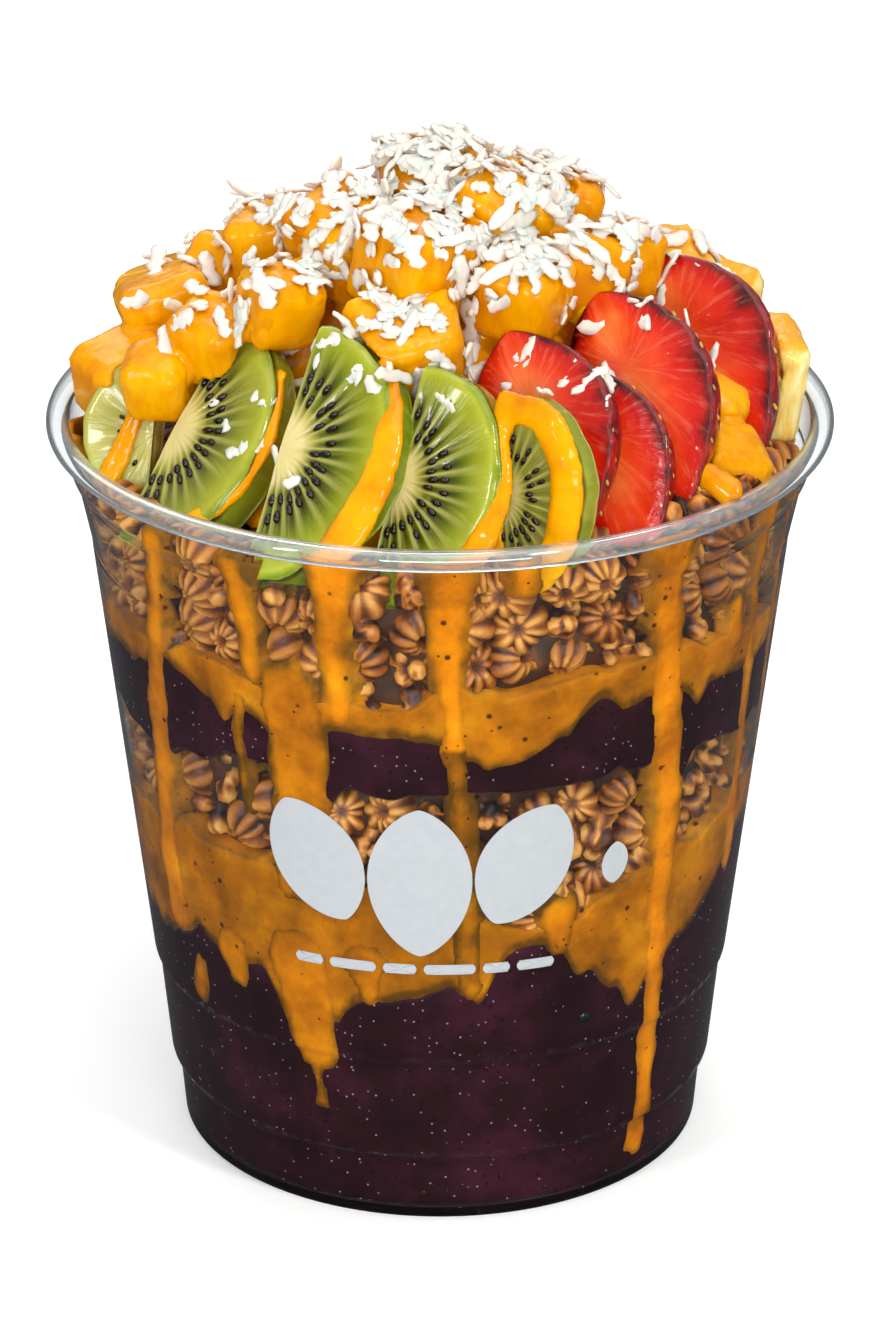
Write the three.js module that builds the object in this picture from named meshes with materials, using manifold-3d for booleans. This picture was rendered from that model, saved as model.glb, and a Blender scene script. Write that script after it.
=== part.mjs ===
// An acai bowl in a clear takeaway cup, in millimetres with +Z up and the foot on z = 0.
// From the bottom: acai, mango sauce, granola, acai, mango sauce, granola, then a heap of cut fruit:
// mango chunks, pineapple chunks, kiwi half slices and strawberry halves. Angles go round the cup in
// degrees from the front (-Y), positive towards the right (+X).
import * as THREE from "three";
import { ConvexGeometry } from "three/addons/geometries/ConvexGeometry.js";
import { mergeVertices } from "three/addons/utils/BufferGeometryUtils.js";
import Module from "manifold-3d";

const wasm = await Module();
wasm.setup();

const TURN = 360;
const GAP = 0.3;
const FACETS = 32;

// The cup: a thermoformed shell with two stacking steps and an open rolled rim.
const WALL = 0.7;
const FLOOR_TOP = 2.0;
const FOOT_RECESS = 1.2;
const FOOT_INNER = 34.5;
const FOOT_FLAT = 36.0;
const FOOT_OUTER = 38.6;
const OUTER_WALL = [
  { height: 0.8, radius: 39.5 },
  { height: 10.8, radius: 40.4 },
  { height: 11.7, radius: 41.5 },
  { height: 28.1, radius: 43.2 },
  { height: 29.0, radius: 43.9 },
  { height: 96.1, radius: 52.0 },
  { height: 105.6, radius: 53.8 },
  { height: 108.5, radius: 55.0 },
  { height: 112.9, radius: 55.85 },
];
const RIM_RADIUS = 56.8;
const RIM_HEIGHT = 114.7;
const CURL_OUTER = 1.7;
const CURL_INNER = 1.1;
const CURL_STEPS = 5;
const CURL_SWEEP = 225;
const RIM_TOP = RIM_HEIGHT + CURL_OUTER;

// The contents' layers: the height of each boundary at the wall, and its broad lobes.
const BOUNDARIES = {
  acaiBase: {
    height: 40.0,
    lobes: [
      { at: -26, spread: 14, rise: -9 },
      { at: 17, spread: 13, rise: 8 },
      { at: 76, spread: 16, rise: 15 },
      { at: 128, spread: 18, rise: -8 },
      { at: 172, spread: 16, rise: 6 },
      { at: -130, spread: 20, rise: -6 },
    ],
  },
  granolaLowerFoot: {
    height: 59.5,
    lobes: [
      { at: 19, spread: 18, rise: -8.5 },
      { at: 80, spread: 16, rise: 3 },
      { at: 150, spread: 24, rise: -7 },
      { at: -120, spread: 20, rise: -4 },
    ],
  },
  granolaLowerTop: {
    height: 74.6,
    lobes: [
      { at: -36, spread: 12, rise: 2.6 },
      { at: -56, spread: 12, rise: -3.4 },
      { at: 60, spread: 14, rise: -2 },
      { at: 135, spread: 24, rise: 3 },
    ],
  },
  acaiMiddleTop: {
    height: 84.4,
    lobes: [
      { at: 12, spread: 11, rise: -5.6 },
      { at: 31, spread: 11, rise: 4 },
      { at: -54, spread: 14, rise: 2 },
      { at: 120, spread: 20, rise: 3 },
      { at: 178, spread: 20, rise: -3 },
    ],
  },
  granolaUpperFoot: {
    height: 90.6,
    lobes: [
      { at: -10, spread: 20, rise: -2 },
      { at: 31, spread: 16, rise: 2.8 },
      { at: 150, spread: 26, rise: -2 },
    ],
  },
  granolaUpperTop: {
    height: 107.2,
    lobes: [
      { at: -20, spread: 30, rise: -1.4 },
      { at: 55, spread: 30, rise: 6.2 },
      { at: 150, spread: 30, rise: 4 },
      { at: -110, spread: 24, rise: 1.5 },
    ],
  },
};
const MID_RING = 0.55;
const MID_SHARE = 0.3;
const SIDE_STEP_ROWS = [10.8, 11.7, 28.1, 29.0];
const UPPER_ROWS = [96.1, 104.4];

// The heap's inside, taken as one body under the fruit that shows.
const HEAP = { apex: 152, slope: 1.06, blunt: 7, foot: 102.5, facets: 16, rings: [14, 27, 40], back: 1 };
const OVERHANG = 58.2;
const HEADROOM = 60;

// Cut fruit sizes.
const KIWI = { length: 18.6, width: 17.2, thick: 7.2, bevel: 1.1, steps: 10 };
const BERRY = { length: 39, width: 25, depth: 12.0, stations: 7, ribs: 7, blunt: 0.86, fullness: 0.85 };
const CHUNK_BEVEL = 1.6;
const UNEVEN = 0.16;

// Half slices of kiwi. at is the slice's core, facing is the way its cut face looks round the cup,
// rise is how far that face looks up, lean turns the cut edge in its own plane, scale is its size.
const KIWI_SLICES = {
  kiwi_slice_1: { at: [-38.6, -16.5, 118.6], facing: -50, rise: 40, lean: -3, scale: 1.0 },
  kiwi_slice_2: { at: [-22.6, -34.4, 122.8], facing: -42, rise: 36, lean: -8, scale: 1.04 },
  kiwi_slice_3: { at: [-6.5, -40.3, 120.2], facing: -30, rise: 30, lean: 0, scale: 0.95 },
  kiwi_slice_4: { at: [9.0, -42.4, 118.8], facing: -36, rise: 12, lean: -4, scale: 0.78 },
  kiwi_slice_0: { at: [-42.0, -13.5, 116.5], facing: -18, rise: 25, lean: 178, scale: 0.64 },
  kiwi_slice_5: { at: [43.5, 16.0, 117.5], facing: 112, rise: 30, lean: 8, scale: 0.85 },
  kiwi_slice_6: { at: [9.5, 38.5, 121.5], facing: 172, rise: 34, lean: 4, scale: 1.0 },
  kiwi_slice_7: { at: [-8.5, 39.0, 121.5], facing: 196, rise: 34, lean: -4, scale: 0.96 },
};

// Strawberry halves. at is the middle of the cut face, turn rolls the berry's length in that face.
const BERRY_HALVES = {
  strawberry_1: { at: [14.6, -33.4, 123.4], facing: -34, rise: 34, turn: -38, scale: 0.94 },
  strawberry_3: { at: [29.0, -23.7, 125.6], facing: -34, rise: 34, turn: -42, scale: 0.98 },
  strawberry_4: { at: [37.2, -6.0, 123.6], facing: -34, rise: 34, turn: -46, scale: 1.1 },
  strawberry_2: { at: [24.0, -33.0, 119.9], facing: -30, rise: 30, turn: -40, scale: 0.82 },
  strawberry_5: { at: [25.5, 30.0, 124.0], facing: 148, rise: 34, turn: 36, scale: 0.98 },
  strawberry_6: { at: [-24.5, 31.5, 123.0], facing: 214, rise: 34, turn: -36, scale: 0.95 },
};

// Chunks: at is the middle, size the block before its corners are cut, turn its yaw, pitch and roll.
const PINEAPPLE_CHUNKS = {
  pineapple_1: { at: [34.2, 15.5, 131.0], size: [11, 13, 11], turn: [20, 14, 8] },
  pineapple_2: { at: [42.2, 13.5, 126.5], size: [10, 12, 11], turn: [-15, 12, 12] },
  pineapple_3: { at: [48.4, 0.5, 119.8], size: [9.5, 14, 17], turn: [8, 8, 4] },
  pineapple_4: { at: [-36.5, 28.0, 119.0], size: [12, 14, 12], turn: [40, 10, -20] },
  pineapple_5: { at: [38.0, 29.0, 118.0], size: [11, 12, 13], turn: [12, -8, 20] },
};
const MANGO_CHUNKS = {
  mango_01: { at: [-46.3, -1.0, 120.6], size: [13, 13, 11.5], turn: [28, 6, -12] },
  mango_02: { at: [-40.6, 7.5, 127.8], size: [13, 13, 12], turn: [10, -6, -16] },
  mango_03: { at: [-23.8, 10.0, 137.4], size: [13, 14, 12], turn: [-12, 4, -10] },
  mango_04: { at: [-31.0, 15.0, 130.8], size: [11, 12, 12], turn: [30, 8, 6] },
  mango_05: { at: [-23.4, -11.5, 136.0], size: [11, 11, 10.5], turn: [24, 12, 8] },
  mango_06: { at: [-32.8, -9.5, 129.6], size: [11, 11, 11.5], turn: [-34, 16, 6] },
  mango_07: { at: [-2.8, -12.0, 142.8], size: [15.5, 15, 15], turn: [36, 12, 4] },
  mango_08: { at: [-5.0, -22.5, 133.0], size: [16, 14.5, 13], turn: [14, 22, -6] },
  mango_09: { at: [12.0, -14.5, 139.0], size: [12.5, 12.5, 12], turn: [-24, 10, 10] },
  mango_10: { at: [21.0, -4.0, 138.0], size: [11, 12, 12.5], turn: [18, -4, 16] },
  mango_11: { at: [11.5, 2.5, 145.2], size: [13, 13, 12], turn: [-18, 10, 14] },
  mango_12: { at: [17.6, 9.0, 143.4], size: [11, 11, 12], turn: [6, 0, 18] },
  mango_13: { at: [26.6, 7.0, 136.0], size: [10, 12, 11], turn: [32, -8, 18] },
  mango_14: { at: [-14.2, -1.0, 142.4], size: [14, 14, 13], turn: [44, 8, -14] },
  mango_15: { at: [41.0, -23.5, 115.5], size: [11, 11, 11], turn: [16, 20, 10] },
  mango_16: { at: [40.0, -14.0, 118.5], size: [9, 11, 12], turn: [-20, 6, 12] },
  mango_17: { at: [-41.2, -11.0, 124.2], size: [10, 10, 10.5], turn: [-10, 22, 0] },
  mango_18: { at: [-0.4, 4.5, 148.0], size: [14, 14, 12.5], turn: [20, 4, -6] },
  mango_19: { at: [7.6, -5.5, 148.0], size: [10.5, 10.5, 11], turn: [-32, 14, 12] },
  mango_20: { at: [-38.5, 21.0, 124.0], size: [15, 15, 14], turn: [-22, -8, -20] },
  mango_21: { at: [-19.0, 24.5, 131.0], size: [15, 14, 14], turn: [35, -16, -12] },
  mango_22: { at: [-1.0, 21.0, 139.0], size: [15, 15, 15], turn: [12, -24, 4] },
  mango_23: { at: [14.0, 22.5, 138.0], size: [15, 15, 14], turn: [-26, -18, 12] },
};

const COLOURS = {
  cup: "#dfe6e8",
  acai: "#34172a",
  sauce: "#e2930f",
  granola: "#b98545",
  heap: "#eda012",
  mango: "#f2a214",
  pineapple: "#f3cf6c",
  kiwi: "#8fae2c",
  strawberry: "#d8281c",
};

const radians = THREE.MathUtils.degToRad;

// Any closed triangle mesh as a solid for joining and cutting.
function toSolid(geometry) {
  const bare = new THREE.BufferGeometry();
  bare.setAttribute("position", geometry.getAttribute("position"));
  if (geometry.index) {
    bare.setIndex(geometry.index);
  }
  const merged = mergeVertices(bare, GAP / 100);
  const index = merged.index.array;
  const triangles = [];
  for (let i = 0; i < index.length; i += 3) {
    const [a, b, c] = [index[i], index[i + 1], index[i + 2]];
    if (a !== b && b !== c && a !== c) {
      triangles.push(a, b, c);
    }
  }
  return new wasm.Manifold(
    new wasm.Mesh({
      numProp: 3,
      vertProperties: new Float32Array(merged.getAttribute("position").array),
      triVerts: new Uint32Array(triangles),
    }),
  );
}

function toGeometry(solid) {
  const mesh = solid.getMesh();
  const positions = new Float32Array(mesh.triVerts.length * 3);
  for (let i = 0; i < mesh.triVerts.length; i += 1) {
    for (let axis = 0; axis < 3; axis += 1) {
      positions[3 * i + axis] = mesh.vertProperties[mesh.numProp * mesh.triVerts[i] + axis];
    }
  }
  const geometry = new THREE.BufferGeometry();
  geometry.setAttribute("position", new THREE.BufferAttribute(positions, 3));
  geometry.computeVertexNormals();
  return geometry;
}

// The biggest body of a cut solid, so that no crumb is left beside it.
function largestBody(solid) {
  const bodies = solid.decompose();
  bodies.sort((a, b) => b.volume() - a.volume());
  return bodies[0];
}

// A solid of revolution about Z from a profile of [radius, height] pairs, bottom to top outside first.
function revolve(profile) {
  const points = profile.map(([radius, height]) => new THREE.Vector2(radius, height));
  const lathe = new THREE.LatheGeometry(points, FACETS);
  lathe.rotateX(Math.PI / 2);
  return toSolid(lathe);
}

function outerRadius(height) {
  const upper = OUTER_WALL.findIndex((row) => row.height >= height);
  if (upper < 0) {
    return OUTER_WALL.at(-1).radius;
  }
  if (upper === 0) {
    return OUTER_WALL[0].radius;
  }
  const low = OUTER_WALL[upper - 1];
  const high = OUTER_WALL[upper];
  const share = (height - low.height) / (high.height - low.height);
  return THREE.MathUtils.lerp(low.radius, high.radius, share);
}

function fillRadius(height) {
  return outerRadius(height) - WALL - GAP;
}

function curl(radius, from, to) {
  const points = [];
  for (let step = 0; step <= CURL_STEPS; step += 1) {
    const angle = radians(from + ((to - from) * step) / CURL_STEPS);
    points.push([RIM_RADIUS + radius * Math.cos(angle), RIM_HEIGHT + radius * Math.sin(angle)]);
  }
  return points;
}

// The cup's shell, with a raised floor inside its foot ring and a lip rolled outwards and down.
function cupSolid() {
  const innerWall = OUTER_WALL.filter((row) => row.height > FLOOR_TOP).reverse();
  const curlEnd = 180 - CURL_SWEEP;
  return revolve([
    [0, FOOT_RECESS],
    [FOOT_INNER, FOOT_RECESS],
    [FOOT_FLAT, 0],
    [FOOT_OUTER, 0],
    ...OUTER_WALL.map((row) => [row.radius, row.height]),
    ...curl(CURL_INNER, 180, curlEnd),
    ...curl(CURL_OUTER, curlEnd, 180),
    ...innerWall.map((row) => [row.radius - WALL, row.height]),
    [outerRadius(FLOOR_TOP) - WALL, FLOOR_TOP],
    [0, FLOOR_TOP],
  ]);
}

// The space that fruit may fill: inside the wall, and out over the rim above it.
function roomSolid() {
  return revolve([
    [0, HEAP.foot - 2 * GAP],
    [fillRadius(HEAP.foot), HEAP.foot - 2 * GAP],
    [fillRadius(105.6), 105.6],
    [fillRadius(108.5), 108.5],
    [RIM_RADIUS - CURL_OUTER - GAP, RIM_HEIGHT - CURL_OUTER],
    [RIM_RADIUS - CURL_OUTER - GAP, RIM_HEIGHT],
    [RIM_RADIUS - CURL_OUTER / 2, RIM_TOP + GAP],
    [OVERHANG, RIM_TOP + GAP],
    [OVERHANG, RIM_TOP + HEADROOM],
    [0, RIM_TOP + HEADROOM],
  ]);
}

// A boundary's height at the wall at one angle.
function boundaryHeight(boundary, angle) {
  let height = boundary.height;
  for (const lobe of boundary.lobes) {
    const away = ((angle - lobe.at + TURN * 1.5) % TURN) - TURN / 2;
    height += lobe.rise * Math.exp(-((away / lobe.spread) ** 2));
  }
  return height;
}

function polar(radius, angle, height) {
  const turn = radians(angle);
  return [radius * Math.sin(turn), -radius * Math.cos(turn), height];
}

function isWider(ring, other) {
  return Math.hypot(ring[0][0], ring[0][1]) > Math.hypot(other[0][0], other[0][1]);
}

// A ring-by-ring closed mesh: rings[i][j] are points, capped at both ends by single points.
// Facets split the same way on a surface that faces up as on the one that lies against it.
function ringSolid(firstPoint, rings, lastPoint) {
  const count = rings[0].length;
  const positions = [firstPoint, ...rings.flat(), lastPoint];
  const index = [];
  const last = positions.length - 1;
  const at = (ring, spoke) => 1 + ring * count + (spoke % count);
  for (let spoke = 0; spoke < count; spoke += 1) {
    index.push(0, at(0, spoke + 1), at(0, spoke));
    index.push(last, at(rings.length - 1, spoke), at(rings.length - 1, spoke + 1));
    for (let ring = 0; ring + 1 < rings.length; ring += 1) {
      const [a, b] = [at(ring, spoke), at(ring, spoke + 1)];
      const [c, d] = [at(ring + 1, spoke + 1), at(ring + 1, spoke)];
      if (isWider(rings[ring], rings[ring + 1])) {
        index.push(a, b, d, b, c, d);
      } else {
        index.push(a, b, c, a, c, d);
      }
    }
  }
  const geometry = new THREE.BufferGeometry();
  geometry.setAttribute("position", new THREE.Float32BufferAttribute(positions.flat(), 3));
  geometry.setIndex(index);
  return toSolid(geometry);
}

// One layer of the contents between two boundaries. A missing lower one is the cup's floor.
// lift raises the top, to cut clearance into what lies on it.
function layerSolid(lower, upper, rows, lift = 0) {
  const angles = Array.from({ length: FACETS }, (_, i) => (i * TURN) / FACETS);
  const floor = { height: FLOOR_TOP + GAP / 2, lobes: [] };
  const low = (angle) => boundaryHeight(lower ?? floor, angle) + GAP / 2;
  const high = (angle) => boundaryHeight(upper, angle) - GAP / 2 + lift;
  const lowMean = (lower ?? floor).height + GAP / 2;
  const highMean = upper.height - GAP / 2 + lift;
  const inner = (edge, mean) =>
    angles.map((angle) =>
      polar(MID_RING * fillRadius(mean), angle, THREE.MathUtils.lerp(mean, edge(angle), MID_SHARE)),
    );
  const edge = (height) => angles.map((angle) => polar(fillRadius(height(angle)), angle, height(angle)));
  return ringSolid(
    [0, 0, lowMean],
    [
      inner(low, lowMean),
      edge(low),
      ...rows.map((row) => edge((angle) => Math.min(row, high(angle) - GAP))),
      edge(high),
      inner(high, highMean),
    ],
    [0, 0, highMean],
  );
}

// The heap's inside: a blunt cone of fruit and sauce under the pieces that show, set back behind
// the leaning slices.
function heapSolid() {
  const top = (radius) => HEAP.apex - HEAP.slope * Math.hypot(radius, HEAP.blunt);
  const ring = (radius, height) =>
    Array.from({ length: HEAP.facets }, (_, i) => {
      const [x, y, z] = polar(radius, (i * TURN) / HEAP.facets, height);
      return [x, y + HEAP.back, z];
    });
  const widest = HEAP.rings.at(-1);
  return ringSolid(
    [0, HEAP.back, HEAP.foot],
    [ring(widest, HEAP.foot), ...HEAP.rings.toReversed().map((radius) => ring(radius, top(radius)))],
    [0, HEAP.back, top(0)],
  );
}

// Axes of a cut face: normal looks out at facing and up by rise, turned in its plane by lean.
function facePlacement({ at, facing, rise, lean }) {
  const out = radians(facing);
  const up = radians(rise);
  const normal = new THREE.Vector3(
    Math.sin(out) * Math.cos(up),
    -Math.cos(out) * Math.cos(up),
    Math.sin(up),
  );
  const side = new THREE.Vector3(Math.cos(out), Math.sin(out), 0);
  const along = new THREE.Vector3().crossVectors(normal, side);
  side.applyAxisAngle(normal, radians(-lean));
  along.applyAxisAngle(normal, radians(-lean));
  return new THREE.Matrix4().makeBasis(side, along, normal).setPosition(...at);
}

// Half a round slice: the cut edge lies on X = 0 along Y, the face is on Z = 0 with the flesh below.
function kiwiSolid(slice, grow) {
  const points = [];
  const thick = KIWI.thick * slice.scale;
  const layers = [
    { depth: grow, inset: KIWI.bevel },
    { depth: grow - KIWI.bevel, inset: 0 },
    { depth: KIWI.bevel - thick - grow, inset: 0 },
    { depth: -thick - grow, inset: KIWI.bevel },
  ];
  for (const { depth, inset } of layers) {
    for (let step = 0; step <= KIWI.steps; step += 1) {
      const angle = (Math.PI * step) / KIWI.steps;
      const width = KIWI.width * slice.scale - inset + 2 * grow;
      const length = KIWI.length * slice.scale - inset + grow;
      points.push(new THREE.Vector3(width * Math.sin(angle) - grow, length * Math.cos(angle), depth));
    }
  }
  return toSolid(new ConvexGeometry(points).applyMatrix4(facePlacement(slice)));
}

// Half a strawberry: cut face on Z = 0, length along Y with the tip down, back domed below.
function berrySolid(half, grow) {
  const points = [];
  const length = BERRY.length * half.scale + 2 * grow;
  for (let station = 0; station <= BERRY.stations; station += 1) {
    const along = station / BERRY.stations;
    const full = Math.sin(Math.PI * along ** BERRY.blunt) ** BERRY.fullness;
    const width = (BERRY.width / 2) * half.scale * full + grow;
    const depth = BERRY.depth * half.scale * full + 2 * grow;
    for (let rib = 0; rib < BERRY.ribs; rib += 1) {
      const angle = (Math.PI * rib) / (BERRY.ribs - 1);
      const place = [width * Math.cos(angle), length * (0.5 - along), grow - depth * Math.sin(angle)];
      points.push(new THREE.Vector3(...place));
    }
  }
  const placement = facePlacement({ ...half, lean: half.turn });
  return toSolid(new ConvexGeometry(points).applyMatrix4(placement));
}

// An uneven block with its corners and edges cut back.
function chunkSolid({ at, size, turn }, seed, grow) {
  const points = [];
  const axes = ["x", "y", "z"];
  for (let corner = 0; corner < 8; corner += 1) {
    const signs = [corner & 1, corner & 2, corner & 4].map((bit) => (bit ? 1 : -1));
    const tip = signs.map((sign, axis) => {
      const wobble = UNEVEN * THREE.MathUtils.seededRandom(seed * 100 + corner * 10 + axis + 1);
      return sign * ((size[axis] / 2) * (1 + UNEVEN / 2 - wobble) + grow);
    });
    for (const axis of [0, 1, 2]) {
      const point = new THREE.Vector3(...tip);
      for (const other of [0, 1, 2]) {
        if (other !== axis) {
          point[axes[other]] -= signs[other] * (grow > 0 ? 0 : CHUNK_BEVEL);
        }
      }
      points.push(point);
    }
  }
  const [yaw, pitch, roll] = turn.map(radians);
  const placement = new THREE.Matrix4()
    .makeRotationFromEuler(new THREE.Euler(pitch, roll, yaw, "ZXY"))
    .setPosition(...at);
  return toSolid(new ConvexGeometry(points).applyMatrix4(placement));
}

const group = new THREE.Group();
group.name = "acai_bowl";

function addNode(name, solid, colour, finish) {
  const material = new THREE.MeshStandardMaterial({ color: colour, ...finish });
  const mesh = new THREE.Mesh(toGeometry(solid), material);
  mesh.name = name;
  group.add(mesh);
}

// The fruit, in the order in which pieces keep their shape where they press together.
const fruit = [
  ...Object.entries(KIWI_SLICES).map(([name, slice]) => ({
    name,
    colour: COLOURS.kiwi,
    build: (grow) => kiwiSolid(slice, grow),
  })),
  ...Object.entries(BERRY_HALVES).map(([name, half]) => ({
    name,
    colour: COLOURS.strawberry,
    build: (grow) => berrySolid(half, grow),
  })),
  ...Object.entries(PINEAPPLE_CHUNKS).map(([name, chunk], i) => ({
    name,
    colour: COLOURS.pineapple,
    build: (grow) => chunkSolid(chunk, i + 50, grow),
  })),
  ...Object.entries(MANGO_CHUNKS).map(([name, chunk], i) => ({
    name,
    colour: COLOURS.mango,
    build: (grow) => chunkSolid(chunk, i + 1, grow),
  })),
];

const room = roomSolid();
const taken = [];
for (const piece of fruit) {
  let solid = piece.build(0).intersect(room);
  for (const other of taken) {
    solid = solid.subtract(other);
  }
  piece.solid = largestBody(solid);
  taken.push(piece.build(GAP));
}

const layers = BOUNDARIES;
const granolaTop = layerSolid(layers.granolaUpperFoot, layers.granolaUpperTop, UPPER_ROWS);
const granolaCleared = layerSolid(layers.granolaUpperFoot, layers.granolaUpperTop, UPPER_ROWS, GAP);
let granolaUpper = granolaTop;
let heap = heapSolid().intersect(room).subtract(granolaCleared);
for (const other of taken) {
  granolaUpper = granolaUpper.subtract(other);
  heap = heap.subtract(other);
}

const matt = { roughness: 0.75, metalness: 0 };
const wet = { roughness: 0.3, metalness: 0 };
addNode("cup", cupSolid(), COLOURS.cup, { roughness: 0.08, metalness: 0, transparent: true, opacity: 0.3 });
addNode("acai_base", layerSolid(null, layers.acaiBase, SIDE_STEP_ROWS), COLOURS.acai, wet);
addNode("mango_sauce_lower", layerSolid(layers.acaiBase, layers.granolaLowerFoot, []), COLOURS.sauce, wet);
addNode("granola_lower", layerSolid(layers.granolaLowerFoot, layers.granolaLowerTop, []), COLOURS.granola, matt);
addNode("acai_middle", layerSolid(layers.granolaLowerTop, layers.acaiMiddleTop, []), COLOURS.acai, wet);
addNode("mango_sauce_upper", layerSolid(layers.acaiMiddleTop, layers.granolaUpperFoot, []), COLOURS.sauce, wet);
addNode("granola_upper", largestBody(granolaUpper), COLOURS.granola, matt);
addNode("fruit_heap", largestBody(heap), COLOURS.heap, wet);
for (const piece of fruit) {
  addNode(piece.name, piece.solid, piece.colour, wet);
}

export default group;
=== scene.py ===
"""The looks of an acai bowl in a clear takeaway cup: purple acai, amber mango sauce and granola in layers,
under a heap of mango, pineapple, kiwi half slices and strawberry halves, with shredded coconut on top.

Lengths are in millimetres until a mesh is made. Angles go round the cup in degrees from the front (-Y),
positive towards the right (+X), as in the CAD part.
"""

import math
import random

import bpy
import numpy as np
from mathutils import Matrix, Vector, noise
from mathutils.bvhtree import BVHTree


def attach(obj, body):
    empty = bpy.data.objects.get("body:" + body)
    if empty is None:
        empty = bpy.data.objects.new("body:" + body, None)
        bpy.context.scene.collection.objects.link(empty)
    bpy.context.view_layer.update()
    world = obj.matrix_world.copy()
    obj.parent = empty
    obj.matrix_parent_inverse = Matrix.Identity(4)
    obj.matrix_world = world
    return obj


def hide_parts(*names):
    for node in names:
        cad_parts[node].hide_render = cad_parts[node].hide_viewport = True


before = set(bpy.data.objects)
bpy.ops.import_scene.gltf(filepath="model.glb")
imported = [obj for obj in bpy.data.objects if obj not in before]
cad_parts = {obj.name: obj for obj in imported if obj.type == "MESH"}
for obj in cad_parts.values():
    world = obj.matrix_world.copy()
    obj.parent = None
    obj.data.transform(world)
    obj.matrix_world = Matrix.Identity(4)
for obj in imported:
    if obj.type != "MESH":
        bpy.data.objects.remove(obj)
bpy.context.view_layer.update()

MM = 0.001

# ---------------------------------------------------------------- sizes repeated from the CAD part

WALL = 0.7
FLOOR_TOP = 2.0
FOOT_RECESS = 1.2
FOOT_INNER = 34.5
FOOT_FLAT = 36.0
FOOT_OUTER = 38.6
# Heights of the fine raised rings near the rim.
BEADS = (96.1, 105.6, 108.5)
# Height and radius up the outside, with the two stacking steps.
OUTER_WALL = [(0.8, 39.5), (10.8, 40.4), (11.7, 41.5), (28.1, 43.2), (29.0, 43.9), (BEADS[0], 52.0),
              (BEADS[1], 53.8), (BEADS[2], 55.0), (112.9, 55.85)]
RIM_RADIUS = 56.8
RIM_HEIGHT = 114.7
CURL_OUTER = 1.7
CURL_INNER = 1.1
CURL_SWEEP = 225
RIM_TOP = RIM_HEIGHT + CURL_OUTER
OVERHANG = 58.2
HEAP_FOOT = 102.5

# Each boundary's height at the wall, then its lobes: angle, spread and rise.
ACAI_TOP = (40.0, [(-26, 14, -9), (17, 13, 8), (76, 16, 15), (128, 18, -8), (172, 16, 6), (-130, 20, -6)])
GRANOLA_FOOT = (59.5, [(19, 18, -8.5), (80, 16, 3), (150, 24, -7), (-120, 20, -4)])
GRANOLA_TOP = (74.6, [(-36, 12, 2.6), (-56, 12, -3.4), (60, 14, -2), (135, 24, 3)])
MIDDLE_TOP = (84.4, [(12, 11, -5.6), (31, 11, 4), (-54, 14, 2), (120, 20, 3), (178, 20, -3)])
UPPER_FOOT = (90.6, [(-10, 20, -2), (31, 16, 2.8), (150, 26, -2)])
UPPER_TOP = (107.2, [(-20, 30, -1.4), (55, 30, 6.2), (150, 30, 4), (-110, 24, 1.5)])

KIWI_LENGTH = 18.6
KIWI_WIDTH = 17.2
KIWI_THICK = 7.2
KIWI_GAPS = 15
# Core's place, facing, rise, lean, scale, how pale the flesh is and how many seed gaps are full.
KIWI_SLICES = {
    "kiwi_slice_1": ((-38.6, -16.5, 118.6), -50, 40, -3, 1.0, 0.12, 15),
    "kiwi_slice_2": ((-22.6, -34.4, 122.8), -42, 36, -8, 1.04, 0.0, 16),
    "kiwi_slice_3": ((-6.5, -40.3, 120.2), -30, 30, 0, 0.95, 0.0, 15),
    "kiwi_slice_4": ((9.0, -42.4, 118.8), -36, 12, -4, 0.78, 0.25, 12),
    "kiwi_slice_0": ((-42.0, -13.5, 116.5), -18, 25, 178, 0.64, 0.8, 3),
    "kiwi_slice_5": ((43.5, 16.0, 117.5), 112, 30, 8, 0.85, 0.0, 14),
    "kiwi_slice_6": ((9.5, 38.5, 121.5), 172, 34, 4, 1.0, 0.1, 15),
    "kiwi_slice_7": ((-8.5, 39.0, 121.5), 196, 34, -4, 0.96, 0.0, 15),
}

BERRY_LENGTH = 39
BERRY_WIDTH = 25
BERRY_DEPTH = 12.0
BERRY_BLUNT = 0.86
BERRY_FULLNESS = 0.85
# Middle of the cut face, facing, rise, turn in the face and scale.
BERRY_HALVES = {
    "strawberry_1": ((14.6, -33.4, 123.4), -34, 34, -38, 0.94),
    "strawberry_2": ((24.0, -33.0, 119.9), -30, 30, -40, 0.82),
    "strawberry_3": ((29.0, -23.7, 125.6), -34, 34, -42, 0.98),
    "strawberry_4": ((37.2, -6.0, 123.6), -34, 34, -46, 1.1),
    "strawberry_5": ((25.5, 30.0, 124.0), 148, 34, 36, 0.98),
    "strawberry_6": ((-24.5, 31.5, 123.0), 214, 34, -36, 0.95),
}

# ---------------------------------------------------------------- how far each filling reaches into the wall

INTO_WALL_ACAI = 0.10
INTO_WALL_GRANOLA = 0.12
INTO_WALL_SAUCE = 0.24
INTO_WALL_DRIP = 0.36
INTO_WALL_FRUIT = 0.2
INTO_WALL_CHUNK = 0.17
INTO_WALL_COAT = 0.14
INTO_WALL_STREAM = 0.28
# The granola's bed lies behind the wall, with the puffs in front of it.
INTO_WALL_BED = -3.4

# Columns of points round the cup, their angles, and the radius that turns an angle into an arc on the wall.
COLUMNS = 400
ALL_ROUND = np.arange(COLUMNS) * 360 / COLUMNS
MEAN_RADIUS = 48.0
# Radians, for chance spins and phases.
FULL_TURN = 6.28

# ---------------------------------------------------------------- colour and material helpers


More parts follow.
